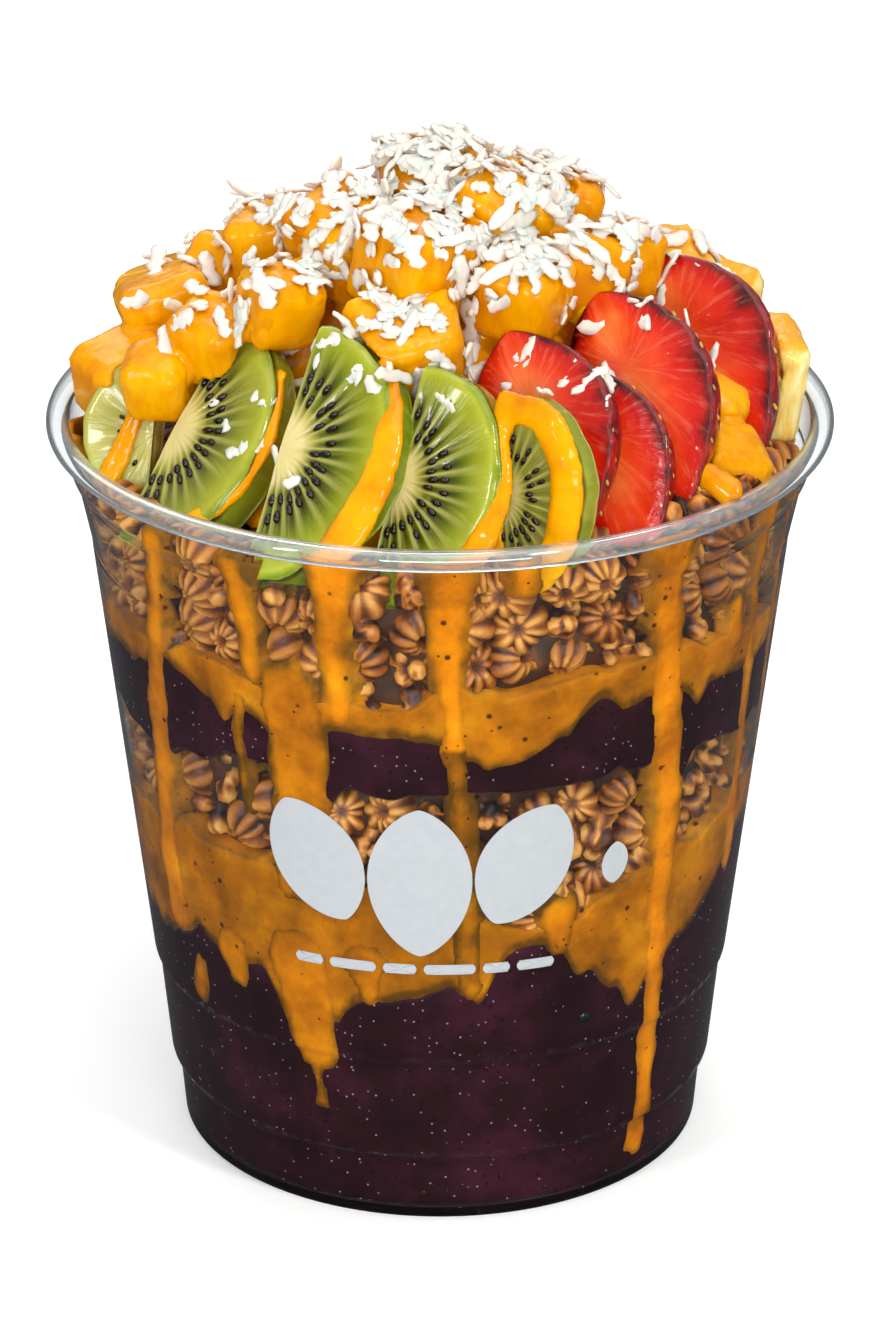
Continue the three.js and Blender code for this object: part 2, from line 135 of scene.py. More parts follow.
def linear(colour):
    """An sRGB hex colour as linear light, with alpha."""
    parts = [int(colour[i:i + 2], 16) / 255 for i in (1, 3, 5)]
    return [p / 12.92 if p <= 0.04045 else ((p + 0.055) / 1.055) ** 2.4 for p in parts] + [1.0]


def add(tree, kind, links=None, stops=None, **settings):
    """Adds one node with its settings; links gives each input a value or another node's output."""
    made = tree.nodes.new(kind)
    for key, value in settings.items():
        setattr(made, key, value)
    for key, value in (links or {}).items():
        if isinstance(value, bpy.types.NodeSocket):
            tree.links.new(value, made.inputs[key])
        else:
            made.inputs[key].default_value = value
    if stops:
        ramp = made.color_ramp.elements
        while len(ramp) < len(stops):
            ramp.new(0.5)
        for element, (place, colour) in zip(ramp, stops):
            element.position = place
            element.color = linear(colour)
    return made


def new_finish(name):
    """A material, its nodes, its Principled surface and the place on the object that patterns follow."""
    material = bpy.data.materials.new(name)
    material.use_nodes = True
    tree = material.node_tree
    place = add(tree, "ShaderNodeTexCoord").outputs["Object"]
    return material, tree, tree.nodes["Principled BSDF"], place


def set_surface(surface, **values):
    """Sets the surface's sockets, named with underscores for spaces."""
    for key, value in values.items():
        surface.inputs[key.replace("_", " ")].default_value = value


def per(size):
    """Texture scale for features of that many millimetres."""
    return 1 / (size * MM)


def wet_glaze(tree, place, surface, weight):
    """A clear film of juice whose small ripples break reflections into glints."""
    ripple = add(tree, "ShaderNodeTexNoise", {"Vector": place, "Scale": per(3.2), "Detail": 1.0})
    film = add(tree, "ShaderNodeBump", {"Height": ripple.outputs["Fac"], "Strength": 0.7,
                                        "Distance": 0.8 * MM})
    tree.links.new(film.outputs["Normal"], surface.inputs["Coat Normal"])
    set_surface(surface, Coat_Weight=weight, Coat_Roughness=0.03)


# ---------------------------------------------------------------- mesh helpers


def piece(name, points, faces, material, slot=None, replaces=(), marks=None, sharp=None):
    """A mesh object from points in millimetres. marks are numbers kept at each point."""
    mesh = bpy.data.meshes.new(name)
    mesh.from_pydata((np.asarray(points, float) * MM).tolist(), [], faces)
    finish_piece(name, mesh, material, replaces, marks, sharp)


def finish_piece(name, mesh, material, replaces=(), marks=None, sharp=None):
    """Puts a mesh in the scene as a piece that rides the root, with its finish, marks and CAD names."""
    mesh.materials.clear()
    mesh.materials.append(material)
    mesh.update()
    for key, values in (marks or {}).items():
        kept = mesh.attributes.new(key, "FLOAT", "POINT")
        kept.data.foreach_set("value", np.asarray(values, np.float32))
    mesh.shade_smooth()
    if sharp:
        mesh.set_sharp_from_angle(angle=math.radians(sharp))
    made = bpy.data.objects.new(name, mesh)
    bpy.context.scene.collection.objects.link(made)
    if replaces:
        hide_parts(*replaces)
    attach(made, "root")


def grid_faces(rows, columns, wrap=False, start=0):
    """Quads over rows of points; with wrap the last column joins the first."""
    faces = []
    for row in range(rows - 1):
        for column in range(columns if wrap else columns - 1):
            across = (column + 1) % columns
            a = start + row * columns + column
            b = start + row * columns + across
            faces.append((a, b, b + columns, a + columns))
    return faces


def tube_faces(rings, columns):
    """Faces over rings of points, closed by fans to two more points stored after them: one before the
    first ring and one past the last."""
    faces = grid_faces(rings, columns, wrap=True)
    first, last = rings * columns, rings * columns + 1
    for i in range(columns):
        j = (i + 1) % columns
        faces.append((first, j, i))
        faces.append((last, first - columns + i, first - columns + j))
    return faces


def joined(bodies):
    """Bodies of (points, faces) as one array of points and one list of faces."""
    points, faces, start = [], [], 0
    for body_points, body_faces in bodies:
        points.append(body_points)
        faces.extend(tuple(i + start for i in face) for face in body_faces)
        start += len(body_points)
    return np.vstack(points), faces


def node_points(name):
    """A CAD node's points in millimetres and its faces."""
    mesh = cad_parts[name].data
    points = np.array([v.co[:] for v in mesh.vertices]) / MM
    return points, [tuple(p.vertices) for p in mesh.polygons]


def melded(bodies, voxel, passes, lumps):
    """One closed skin round overlapping bodies of (points, faces), with its hollows filled by smoothing.
    lumps are (grain size, height) of soft unevenness."""
    points, faces = joined(bodies)
    mesh = bpy.data.meshes.new("melding")
    mesh.from_pydata((points * MM).tolist(), [], faces)
    work = bpy.data.objects.new("melding", mesh)
    bpy.context.scene.collection.objects.link(work)
    remesh = work.modifiers.new("skin", "REMESH")
    remesh.mode = "VOXEL"
    remesh.voxel_size = voxel * MM
    smooth = work.modifiers.new("soften", "SMOOTH")
    smooth.factor = 0.5
    smooth.iterations = passes
    for grain, height in lumps:
        clouds = bpy.data.textures.new("lumps", "CLOUDS")
        clouds.noise_scale = grain * MM
        uneven = work.modifiers.new("uneven", "DISPLACE")
        uneven.texture = clouds
        uneven.texture_coords = "LOCAL"
        uneven.strength = 2 * height * MM
        uneven.mid_level = 0.5
    shaped = work.evaluated_get(bpy.context.evaluated_depsgraph_get())
    result = bpy.data.meshes.new_from_object(shaped)
    bpy.data.objects.remove(work)
    return result


def mesh_coordinates(mesh):
    """A mesh's points in millimetres."""
    flat = np.zeros(len(mesh.vertices) * 3, np.float32)
    mesh.vertices.foreach_get("co", flat)
    return flat.reshape(-1, 3) / MM


def set_coordinates(mesh, points):
    """Moves a mesh's points to places in millimetres."""
    mesh.vertices.foreach_set("co", (np.asarray(points) * MM).astype(np.float32).ravel())
    mesh.update()


def polar(radius, degrees, height):
    """Points at a radius, an angle round the cup and a height; any of them may be arrays."""
    turn = np.radians(degrees)
    return np.stack(np.broadcast_arrays(radius * np.sin(turn), -radius * np.cos(turn), height), -1)


def rotation(angle, axis):
    """A turn about an axis, in radians."""
    return Matrix.Rotation(angle, 3, axis)


def outer_radius(height):
    """The cup's outside."""
    heights, radii = zip(*OUTER_WALL)
    return np.interp(height, heights, radii)


def inner_radius(height):
    """The cup's inside."""
    return outer_radius(height) - WALL


def room_radius(height):
    """How far out fruit may reach: the wall, then clear of the rim, then out over it."""
    heights = [HEAP_FOOT, *BEADS[1:], RIM_HEIGHT - CURL_OUTER, RIM_HEIGHT, RIM_TOP, RIM_TOP + 0.6]
    beside_curl = RIM_RADIUS - CURL_OUTER - 0.4
    radii = [*(inner_radius(h) for h in heights[:3]), beside_curl, beside_curl, RIM_RADIUS - 0.8,
             OVERHANG - 0.2]
    return np.interp(height, heights, radii)


def keep_in_room(points, into_wall=INTO_WALL_FRUIT):
    """Presses points that lie past the wall flat against it."""
    points = np.array(points, float)
    reach = np.hypot(points[:, 0], points[:, 1])
    limit = into_wall + np.where(points[:, 2] < HEAP_FOOT, inner_radius(points[:, 2]),
                                 room_radius(points[:, 2]))
    shrink = np.minimum(1, limit / np.maximum(reach, 1e-6))
    points[:, :2] *= shrink[:, None]
    return points


def boundary(profile, degrees, extra=()):
    """A boundary's height at the wall, with finer lobes if any."""
    mean, lobes = profile
    height = np.full(np.shape(degrees), float(mean))
    for at, spread, rise in list(lobes) + list(extra):
        away = (np.asarray(degrees) - at + 540) % 360 - 180
        height += rise * np.exp(-(away / spread) ** 2)
    return height


def fine_lobes(seed, count, spread, rise):
    """Small lobes scattered round the cup, with their spread and rise between two limits."""
    chance = random.Random(seed)
    return [(chance.uniform(-180, 180), chance.uniform(*spread), chance.uniform(*rise))
            for _ in range(count)]


def wall_noise(across, heights, scale, seed):
    """Smooth noise over the wall, with its scale across and up."""
    return np.array([noise.noise((float(a) * scale[0], float(h) * scale[1], seed))
                     for a, h in zip(across.ravel(), heights.ravel())]).reshape(heights.shape)


# ---------------------------------------------------------------- materials


def scattered_dots(tree, place, pitch, edge_at, strength, channel, bare):
    """Dots about a pitch apart, with a soft edge given in pitches, and a share of places left bare."""
    cells = add(tree, "ShaderNodeTexVoronoi", {"Vector": place, "Scale": per(pitch)})
    dot = add(tree, "ShaderNodeMapRange", {"Value": cells.outputs["Distance"], "From Min": edge_at[0],
                                           "From Max": edge_at[1], "To Min": strength, "To Max": 0.0})
    lot = add(tree, "ShaderNodeSeparateColor", {"Color": cells.outputs["Color"]})
    drawn = add(tree, "ShaderNodeMath", {0: lot.outputs[channel], 1: bare}, operation="GREATER_THAN")
    return add(tree, "ShaderNodeMath", {0: dot.outputs["Result"], 1: drawn.outputs["Value"]},
               operation="MULTIPLY").outputs["Value"]


def mottled(name, size, stops, detail=2.0, crispness=0.5, **values):
    """A finish whose colour drifts between its stops, in patches of that many millimetres."""
    material, tree, surface, place = new_finish(name)
    patches = add(tree, "ShaderNodeTexNoise", {"Vector": place, "Scale": per(size), "Detail": detail,
                                               "Roughness": crispness})
    tone = add(tree, "ShaderNodeValToRGB", {"Fac": patches.outputs["Fac"]}, stops=stops)
    tree.links.new(tone.outputs["Color"], surface.inputs["Base Color"])
    set_surface(surface, **values)
    return material


def clear_pet():
    """Clear PET, thermoformed: glassy and bright at its edges, and it lets the lamps light the food."""
    material, tree, surface, place = new_finish("clear_pet")
    set_surface(surface, Base_Color=linear("#F6FAFA"), Roughness=0.03, IOR=1.57, Transmission_Weight=1.0)
    # Forming ripples a few millimetres apart, so that reflections waver slightly.
    ripple = add(tree, "ShaderNodeTexNoise", {"Vector": place, "Scale": per(9), "Detail": 1.0})
    bump = add(tree, "ShaderNodeBump", {"Height": ripple.outputs["Fac"], "Strength": 0.03,
                                        "Distance": 0.4 * MM})
    tree.links.new(bump.outputs["Normal"], surface.inputs["Normal"])
    # The rolled curl is folded plastic, so it is a little milky.
    curl = add(tree, "ShaderNodeAttribute", attribute_name="curl").outputs["Fac"]
    milky = add(tree, "ShaderNodeBsdfDiffuse", {"Color": linear("#D6DADD")})
    share = add(tree, "ShaderNodeMath", {0: curl, 1: 0.07}, operation="MULTIPLY")
    body = add(tree, "ShaderNodeMixShader", {0: share.outputs["Value"], 1: surface.outputs["BSDF"],
                                             2: milky.outputs["BSDF"]})
    lamps = add(tree, "ShaderNodeLightPath")
    through = add(tree, "ShaderNodeBsdfTransparent", {"Color": linear("#F2F6F6")})
    mixed = add(tree, "ShaderNodeMixShader", {0: lamps.outputs["Is Shadow Ray"],
                                              1: body.outputs["Shader"],
                                              2: through.outputs["BSDF"]})
    tree.links.new(mixed.outputs["Shader"], tree.nodes["Material Output"].inputs["Surface"])
    return material


def acai_puree():
    """Frozen acai blended smooth: deep purple-brown, with dark berry specks and pale ice dots whose glints
    are painted into their colour.
    """
    material, tree, surface, place = new_finish("acai_puree")
    cloud = add(tree, "ShaderNodeTexNoise", {"Vector": place, "Scale": per(14), "Detail": 6.0,
                                             "Roughness": 0.62})
    tone = add(tree, "ShaderNodeValToRGB", {"Fac": cloud.outputs["Fac"]},
               stops=[(0.3, "#1A080D"), (0.5, "#2A0F16"), (0.72, "#44192A")])
    # Ice crystals about 0.3 mm across, one every couple of millimetres: pale dots that are partly the ice's
    # own whiteness and partly painted glints.
    ice_and_glint_dots = scattered_dots(tree, place, 1.15, (0.06, 0.16), 1.0, "Red", 0.55)
    specks = add(tree, "ShaderNodeTexVoronoi", {"Vector": place, "Scale": per(1.7)})
    speck = add(tree, "ShaderNodeMapRange", {"Value": specks.outputs["Distance"], "From Min": 0.1,
                                             "From Max": 0.22, "To Min": 0.8, "To Max": 0.0})
    dark = add(tree, "ShaderNodeMix", {0: speck.outputs["Result"], 6: tone.outputs["Color"],
                                       7: linear("#14070D")}, data_type="RGBA")
    lit = add(tree, "ShaderNodeMix", {0: ice_and_glint_dots, 6: dark.outputs[2], 7: linear("#C0A2AC")},
              data_type="RGBA")
    tree.links.new(lit.outputs[2], surface.inputs["Base Color"])
    bump = add(tree, "ShaderNodeBump", {"Height": cloud.outputs["Fac"], "Strength": 0.25,
                                        "Distance": 0.5 * MM})
    tree.links.new(bump.outputs["Normal"], surface.inputs["Normal"])
    # It wets the wall, so there is next to no reflection where they touch.
    set_surface(surface, Roughness=0.46, Specular_IOR_Level=0.04)
    return material


def sauce_behind_wall():
    """Mango sauce seen through the cup: amber, clouded brown where acai has bled into it and olive where
    it thins, with black seed specks."""
    material, tree, surface, place = new_finish("mango_sauce_at_the_wall")
    thin = add(tree, "ShaderNodeAttribute", attribute_name="thin").outputs["Fac"]
    mottle = add(tree, "ShaderNodeTexNoise", {"Vector": place, "Scale": per(10), "Detail": 5.0,
                                              "Roughness": 0.6})
    tone = add(tree, "ShaderNodeValToRGB", {"Fac": mottle.outputs["Fac"]},
               stops=[(0.3, "#9A5804"), (0.42, "#C67404"), (0.55, "#E48C04"), (0.7, "#F8A60C")])
    bleed = add(tree, "ShaderNodeTexNoise", {"Vector": place, "Scale": per(5.5), "Detail": 4.0,
                                             "Roughness": 0.6})
    patchy = add(tree, "ShaderNodeMath", {0: bleed.outputs["Fac"], 1: 2.4, 2: -1.2},
                 operation="MULTIPLY_ADD")
    thinned = add(tree, "ShaderNodeMath", {0: patchy.outputs["Value"], 1: thin, 2: thin},
                  operation="MULTIPLY_ADD", use_clamp=True)
    olive = add(tree, "ShaderNodeMix", {0: thinned.outputs["Value"], 6: tone.outputs["Color"],
                                        7: linear("#64400A")}, data_type="RGBA")
    shade = olive.outputs[2]
    # Seed specks about 0.4 and 0.9 mm across.
    for pitch, bare in ((1.9, 0.6), (4.0, 0.4)):
        dots = scattered_dots(tree, place, pitch, (0.08, 0.14), 0.9, "Green", bare)
        shade = add(tree, "ShaderNodeMix", {0: dots, 6: shade, 7: linear("#2A1208")},
                    data_type="RGBA").outputs[2]
    tree.links.new(shade, surface.inputs["Base Color"])
    # It wets the wall, so there is next to no reflection where they touch.
    set_surface(surface, Roughness=0.55, Specular_IOR_Level=0.04)
    return material


def wet_sauce():
    """Thick mango sauce in the open: saturated amber with a wet gloss and soft depth."""
    material, tree, surface, place = new_finish("mango_sauce_wet")
    mottle = add(tree, "ShaderNodeTexNoise", {"Vector": place, "Scale": per(8), "Detail": 3.0})
    tone = add(tree, "ShaderNodeValToRGB", {"Fac": mottle.outputs["Fac"]},
               stops=[(0.32, "#D07C00"), (0.52, "#E89A00"), (0.72, "#F2AE02")])
    tree.links.new(tone.outputs["Color"], surface.inputs["Base Color"])
    fine = add(tree, "ShaderNodeTexNoise", {"Vector": place, "Scale": per(2.6), "Detail": 2.0})
    bump = add(tree, "ShaderNodeBump", {"Height": fine.outputs["Fac"], "Strength": 0.22,
                                        "Distance": 0.5 * MM})
    tree.links.new(bump.outputs["Normal"], surface.inputs["Normal"])
    set_surface(surface, Roughness=0.1, IOR=1.4, Specular_IOR_Level=0.35, Subsurface_Weight=0.12,
                Subsurface_Scale=2 * MM, Subsurface_Radius=(1.0, 0.5, 0.1))
    return material


def mango_flesh():
    """Ripe mango cut in blocks: warm yellow-orange flesh with faint fibres, glazed with sauce."""
    material, tree, surface, place = new_finish("mango_flesh")
    fibre_place = add(tree, "ShaderNodeMapping", {"Vector": place, "Rotation": (0.6, 0.4, 0.3),
                                                  "Scale": (1.0, 1.0, 0.22)}).outputs["Vector"]
    fibre = add(tree, "ShaderNodeTexNoise", {"Vector": fibre_place, "Scale": per(1.1), "Detail": 3.0})
    cloud = add(tree, "ShaderNodeTexNoise", {"Vector": place, "Scale": per(9), "Detail": 2.0})
    both = add(tree, "ShaderNodeMix", {0: 0.3, 2: cloud.outputs["Fac"], 3: fibre.outputs["Fac"]})
    tone = add(tree, "ShaderNodeValToRGB", {"Fac": both.outputs[0]},
               stops=[(0.3, "#D07A00"), (0.48, "#E69800"), (0.62, "#F0AA00"), (0.8, "#F6BA02")])
    tree.links.new(tone.outputs["Color"], surface.inputs["Base Color"])
    bump = add(tree, "ShaderNodeBump", {"Height": fibre.outputs["Fac"], "Strength": 0.3,
                                        "Distance": 0.35 * MM})
    tree.links.new(bump.outputs["Normal"], surface.inputs["Normal"])
    set_surface(surface, Roughness=0.16, IOR=1.4, Specular_IOR_Level=0.25, Subsurface_Weight=0.15,
                Subsurface_Scale=2.5 * MM, Subsurface_Radius=(1.0, 0.5, 0.1))
    wet_glaze(tree, place, surface, 0.08)
    return material


def pineapple_flesh():
    """Pineapple cut in blocks: pale yellow with coarse fibres, and sauce run over its top."""
    material, tree, surface, place = new_finish("pineapple_flesh")
    drawn = add(tree, "ShaderNodeMapping", {"Vector": place, "Rotation": (0.15, 0.1, 0.4),
                                            "Scale": (1.0, 1.0, 0.16)}).outputs["Vector"]
    fibre = add(tree, "ShaderNodeTexNoise", {"Vector": drawn, "Scale": per(1.5), "Detail": 4.0,
                                             "Roughness": 0.6})
    tone = add(tree, "ShaderNodeValToRGB", {"Fac": fibre.outputs["Fac"]},
               stops=[(0.3, "#EAAE3E"), (0.45, "#F8D26C"), (0.6, "#FDE79C"), (0.78, "#FFF4CA")])
    facing = add(tree, "ShaderNodeSeparateXYZ",
                 {"Vector": add(tree, "ShaderNodeNewGeometry").outputs["Normal"]})
    run = add(tree, "ShaderNodeTexNoise", {"Vector": place, "Scale": per(6), "Detail": 2.0})
    above = add(tree, "ShaderNodeMath", {0: facing.outputs["Z"], 1: run.outputs["Fac"]}, operation="ADD")
    sauced = add(tree, "ShaderNodeMapRange", {"Value": above.outputs["Value"], "From Min": 1.0,
                                              "From Max": 1.3})
    glazed = add(tree, "ShaderNodeMix", {0: sauced.outputs["Result"], 6: tone.outputs["Color"],
                                         7: linear("#F6A81A")}, data_type="RGBA")
    tree.links.new(glazed.outputs[2], surface.inputs["Base Color"])
    bump = add(tree, "ShaderNodeBump", {"Height": fibre.outputs["Fac"], "Strength": 0.5,
                                        "Distance": 0.6 * MM})
    tree.links.new(bump.outputs["Normal"], surface.inputs["Normal"])
    set_surface(surface, Roughness=0.28, IOR=1.4, Subsurface_Weight=0.25, Subsurface_Scale=3 * MM,
                Coat_Weight=0.2, Coat_Roughness=0.1)
    return material


def kiwi_flesh():
    """Kiwi cut across: cream core, dark green seed pockets between pale rays, lighter wet flesh
    outwards and a bright green rim where it was peeled."""
    material, tree, surface, place = new_finish("kiwi_flesh")
    reach, turn, ray, pocket, pale = (
        add(tree, "ShaderNodeAttribute", attribute_name=mark).outputs["Fac"]
        for mark in ("reach", "turn", "ray", "pocket", "pale"))
    waver = add(tree, "ShaderNodeTexNoise", {"Vector": place, "Scale": per(5), "Detail": 3.0})
    off = add(tree, "ShaderNodeMath", {0: waver.outputs["Fac"], 1: 0.16, 2: -0.08},
              operation="MULTIPLY_ADD")
    depth = add(tree, "ShaderNodeMath", {0: reach, 1: off.outputs["Value"]}, operation="ADD")
    tone = add(tree, "ShaderNodeValToRGB", {"Fac": depth.outputs["Value"]},
               stops=[(0.2, "#D6C684"), (0.26, "#B4A852"), (0.33, "#686C08"), (0.5, "#525804"),
                      (0.68, "#6E7808"), (0.84, "#8E9418"), (0.94, "#A4A82A"), (1.0, "#76880A")])
    # Fibres run outwards: fine in angle, long in reach.
    spread = add(tree, "ShaderNodeMath", {0: turn, 1: 42.0}, operation="MULTIPLY")
    outward = add(tree, "ShaderNodeMath", {0: reach, 1: 2.2}, operation="MULTIPLY")
    fan = add(tree, "ShaderNodeCombineXYZ", {"X": spread.outputs["Value"],
                                             "Y": outward.outputs["Value"]})
    fibre = add(tree, "ShaderNodeTexNoise", {"Vector": fan.outputs["Vector"], "Scale": 1.0,
                                             "Detail": 3.0, "Roughness": 0.6})
    pocketed = add(tree, "ShaderNodeMix", {0: pocket, 6: tone.outputs["Color"],
                                           7: linear("#262E02")}, data_type="RGBA")
    streak = add(tree, "ShaderNodeMapRange", {"Value": fibre.outputs["Fac"], "From Min": 0.5,
                                              "From Max": 0.78, "To Min": 0.0, "To Max": 0.5})
    past_core = add(tree, "ShaderNodeMapRange", {"Value": reach, "From Min": 0.26, "From Max": 0.36})
    shown = add(tree, "ShaderNodeMath", {0: streak.outputs["Result"], 1: past_core.outputs["Result"]},
                operation="MULTIPLY")
    streaked = add(tree, "ShaderNodeMix", {0: shown.outputs["Value"], 6: pocketed.outputs[2],
                                           7: linear("#A9AA44")}, data_type="RGBA")
    rayed = add(tree, "ShaderNodeMix", {0: ray, 6: streaked.outputs[2], 7: linear("#BAB862")},
                data_type="RGBA")
    paler = add(tree, "ShaderNodeMix", {0: pale, 6: rayed.outputs[2], 7: linear("#B4AC54")},
                data_type="RGBA")
    tree.links.new(paler.outputs[2], surface.inputs["Base Color"])
    bump = add(tree, "ShaderNodeBump", {"Height": fibre.outputs["Fac"], "Strength": 0.35,
                                        "Distance": 0.4 * MM})
    tree.links.new(bump.outputs["Normal"], surface.inputs["Normal"])
    set_surface(surface, Roughness=0.2, IOR=1.38, Subsurface_Weight=0.08, Subsurface_Scale=2 * MM,
                Subsurface_Radius=(0.8, 1.0, 0.2), Coat_Weight=0.4, Coat_Roughness=0.04)
    return material


def kiwi_seed():
    """Kiwi seeds: near black, hard and glossy, with a brown cast."""
    return mottled("kiwi_seed", 1.2, [(0.4, "#0D0A0A"), (0.7, "#2A1B12")], Roughness=0.18, IOR=1.5)


def strawberry_flesh():
    """Strawberry halved: pale orange heart with fibres fanning to a deep red edge, and a glossy
    dimpled red skin round the back."""
    material, tree, surface, place = new_finish("strawberry_flesh")
    reach, skin, fan, dimple = (
        add(tree, "ShaderNodeAttribute", attribute_name=mark).outputs["Fac"]
        for mark in ("reach", "skin", "fan", "dimple"))
    waver = add(tree, "ShaderNodeTexNoise", {"Vector": place, "Scale": per(7), "Detail": 3.0})
    off = add(tree, "ShaderNodeMath", {0: waver.outputs["Fac"], 1: 0.8, 2: -0.38},
              operation="MULTIPLY_ADD")
    depth = add(tree, "ShaderNodeMath", {0: reach, 1: off.outputs["Value"]}, operation="ADD")
    tone = add(tree, "ShaderNodeValToRGB", {"Fac": depth.outputs["Value"]},
               stops=[(0.05, "#EA6C30"), (0.28, "#DE4016"), (0.55, "#CC2006"), (0.78, "#B00A03"),
                      (0.9, "#700302"), (1.0, "#3A0202")])
    spread = add(tree, "ShaderNodeMath", {0: fan, 1: 26.0}, operation="MULTIPLY")
    outward = add(tree, "ShaderNodeMath", {0: reach, 1: 1.4}, operation="MULTIPLY")
    rays = add(tree, "ShaderNodeCombineXYZ", {"X": spread.outputs["Value"],
                                              "Y": outward.outputs["Value"]})
    fibre = add(tree, "ShaderNodeTexNoise", {"Vector": rays.outputs["Vector"], "Scale": 1.0,
                                             "Detail": 4.0, "Roughness": 0.62})
    streak = add(tree, "ShaderNodeMapRange", {"Value": fibre.outputs["Fac"], "From Min": 0.52,
                                              "From Max": 0.8, "To Min": 0.0, "To Max": 0.45})
    inner = add(tree, "ShaderNodeMapRange", {"Value": reach, "From Min": 0.75, "From Max": 1.0,
                                             "To Min": 1.0, "To Max": 0.0})
    shown = add(tree, "ShaderNodeMath", {0: streak.outputs["Result"], 1: inner.outputs["Result"]},
                operation="MULTIPLY")
    streaked = add(tree, "ShaderNodeMix", {0: shown.outputs["Value"], 6: tone.outputs["Color"],
                                           7: linear("#F79A74")}, data_type="RGBA")
    blush = add(tree, "ShaderNodeTexNoise", {"Vector": place, "Scale": per(3), "Detail": 4.0,
                                             "Roughness": 0.6})
    skin_tone = add(tree, "ShaderNodeValToRGB", {"Fac": blush.outputs["Fac"]},
                    stops=[(0.32, "#5C0206"), (0.5, "#8E060A"), (0.68, "#B8161A")])
    # Painted shade: the skin darker in the dimples round each pip.
    dimple_shaded = add(tree, "ShaderNodeMix", {0: dimple, 6: skin_tone.outputs["Color"],
                                         7: linear("#4A0205")}, data_type="RGBA")
    whole = add(tree, "ShaderNodeMix", {0: skin, 6: streaked.outputs[2], 7: dimple_shaded.outputs[2]},
                data_type="RGBA")
    tree.links.new(whole.outputs[2], surface.inputs["Base Color"])
    bump = add(tree, "ShaderNodeBump", {"Height": fibre.outputs["Fac"], "Strength": 0.3,
                                        "Distance": 0.5 * MM})
    wrinkle = add(tree, "ShaderNodeBump", {"Height": blush.outputs["Fac"], "Strength": 0.35,
                                           "Distance": 0.5 * MM, "Normal": bump.outputs["Normal"]})
    tree.links.new(wrinkle.outputs["Normal"], surface.inputs["Normal"])
    set_surface(surface, Roughness=0.2, IOR=1.4, Subsurface_Weight=0.12, Subsurface_Scale=2 * MM,
                Subsurface_Radius=(1.0, 0.25, 0.12))
    wet_glaze(tree, place, surface, 0.45)
    return material


def strawberry_seed():
    """Strawberry pips: straw yellow to olive, dry and slightly glossy."""
    return mottled("strawberry_seed", 4, [(0.35, "#9A6A1C"), (0.6, "#DDB04A")], Roughness=0.35, IOR=1.5)


def toasted_granola():
    """Baked puffs: golden tan on the ridges, some caramelised and shiny, with painted shade that turns them
    brown to near black in the grooves, dimples and hollows.
    """
    material, tree, surface, place = new_finish("toasted_granola")
    groove_shade = add(tree, "ShaderNodeAttribute", attribute_name="groove_shade").outputs["Fac"]
    roast = add(tree, "ShaderNodeAttribute", attribute_name="roast").outputs["Fac"]
    # Painted shade: the groove mark darkens the colour down each ramp, to near black in the deepest hollows.
    light = add(tree, "ShaderNodeValToRGB", {"Fac": groove_shade},
                stops=[(0.0, "#E4A850"), (0.26, "#B46A16"), (0.58, "#703408"), (1.0, "#200B02")])
    dark = add(tree, "ShaderNodeValToRGB", {"Fac": groove_shade},
               stops=[(0.0, "#BC6A14"), (0.35, "#7E3C08"), (0.7, "#401A04"), (1.0, "#140602")])
    cloud = add(tree, "ShaderNodeTexNoise", {"Vector": place, "Scale": per(2.4), "Detail": 5.0,
                                             "Roughness": 0.6})
    shift = add(tree, "ShaderNodeMath", {0: cloud.outputs["Fac"], 1: 1.3, 2: -0.65},
                operation="MULTIPLY_ADD")
    roasted = add(tree, "ShaderNodeMath", {0: roast, 1: shift.outputs["Value"]}, operation="ADD",
                  use_clamp=True)
    tone = add(tree, "ShaderNodeMix", {0: roasted.outputs["Value"], 6: light.outputs["Color"],
                                       7: dark.outputs["Color"]}, data_type="RGBA")
    tree.links.new(tone.outputs[2], surface.inputs["Base Color"])
    gloss = add(tree, "ShaderNodeMapRange", {"Value": roasted.outputs["Value"], "To Min": 0.55,
                                             "To Max": 0.28})
    tree.links.new(gloss.outputs["Result"], surface.inputs["Roughness"])
    crumb = add(tree, "ShaderNodeTexNoise", {"Vector": place, "Scale": per(0.7), "Detail": 3.0})
    bump = add(tree, "ShaderNodeBump", {"Height": crumb.outputs["Fac"], "Strength": 0.6,
                                        "Distance": 0.3 * MM})
    tree.links.new(bump.outputs["Normal"], surface.inputs["Normal"])
    return material


def shaded_granola_bed():
    """The gaps between puffs: crumbs and syrup, painted dark brown as the shade that falls there."""
    return mottled("shaded_granola_bed", 3, [(0.35, "#2A1204"), (0.55, "#4C2608"), (0.75, "#7A420E")],
                   detail=5.0, crispness=0.65, Roughness=0.6)


def coconut_shred():
    """Dried coconut, shredded: white with a faint cream and grey grain, matt and a little
    translucent."""
    material, tree, surface, place = new_finish("coconut_shred")
    grain = add(tree, "ShaderNodeTexNoise", {"Vector": place, "Scale": per(1.6), "Detail": 3.0})
    tone = add(tree, "ShaderNodeValToRGB", {"Fac": grain.outputs["Fac"]},
               stops=[(0.3, "#DAD2C8"), (0.55, "#E6DFD5"), (0.75, "#F0EAE1")])
    tree.links.new(tone.outputs["Color"], surface.inputs["Base Color"])
    bump = add(tree, "ShaderNodeBump", {"Height": grain.outputs["Fac"], "Strength": 0.3,
                                        "Distance": 0.3 * MM})
    tree.links.new(bump.outputs["Normal"], surface.inputs["Normal"])
    set_surface(surface, Roughness=0.55, Subsurface_Weight=0.35, Subsurface_Scale=1.5 * MM)
    return material


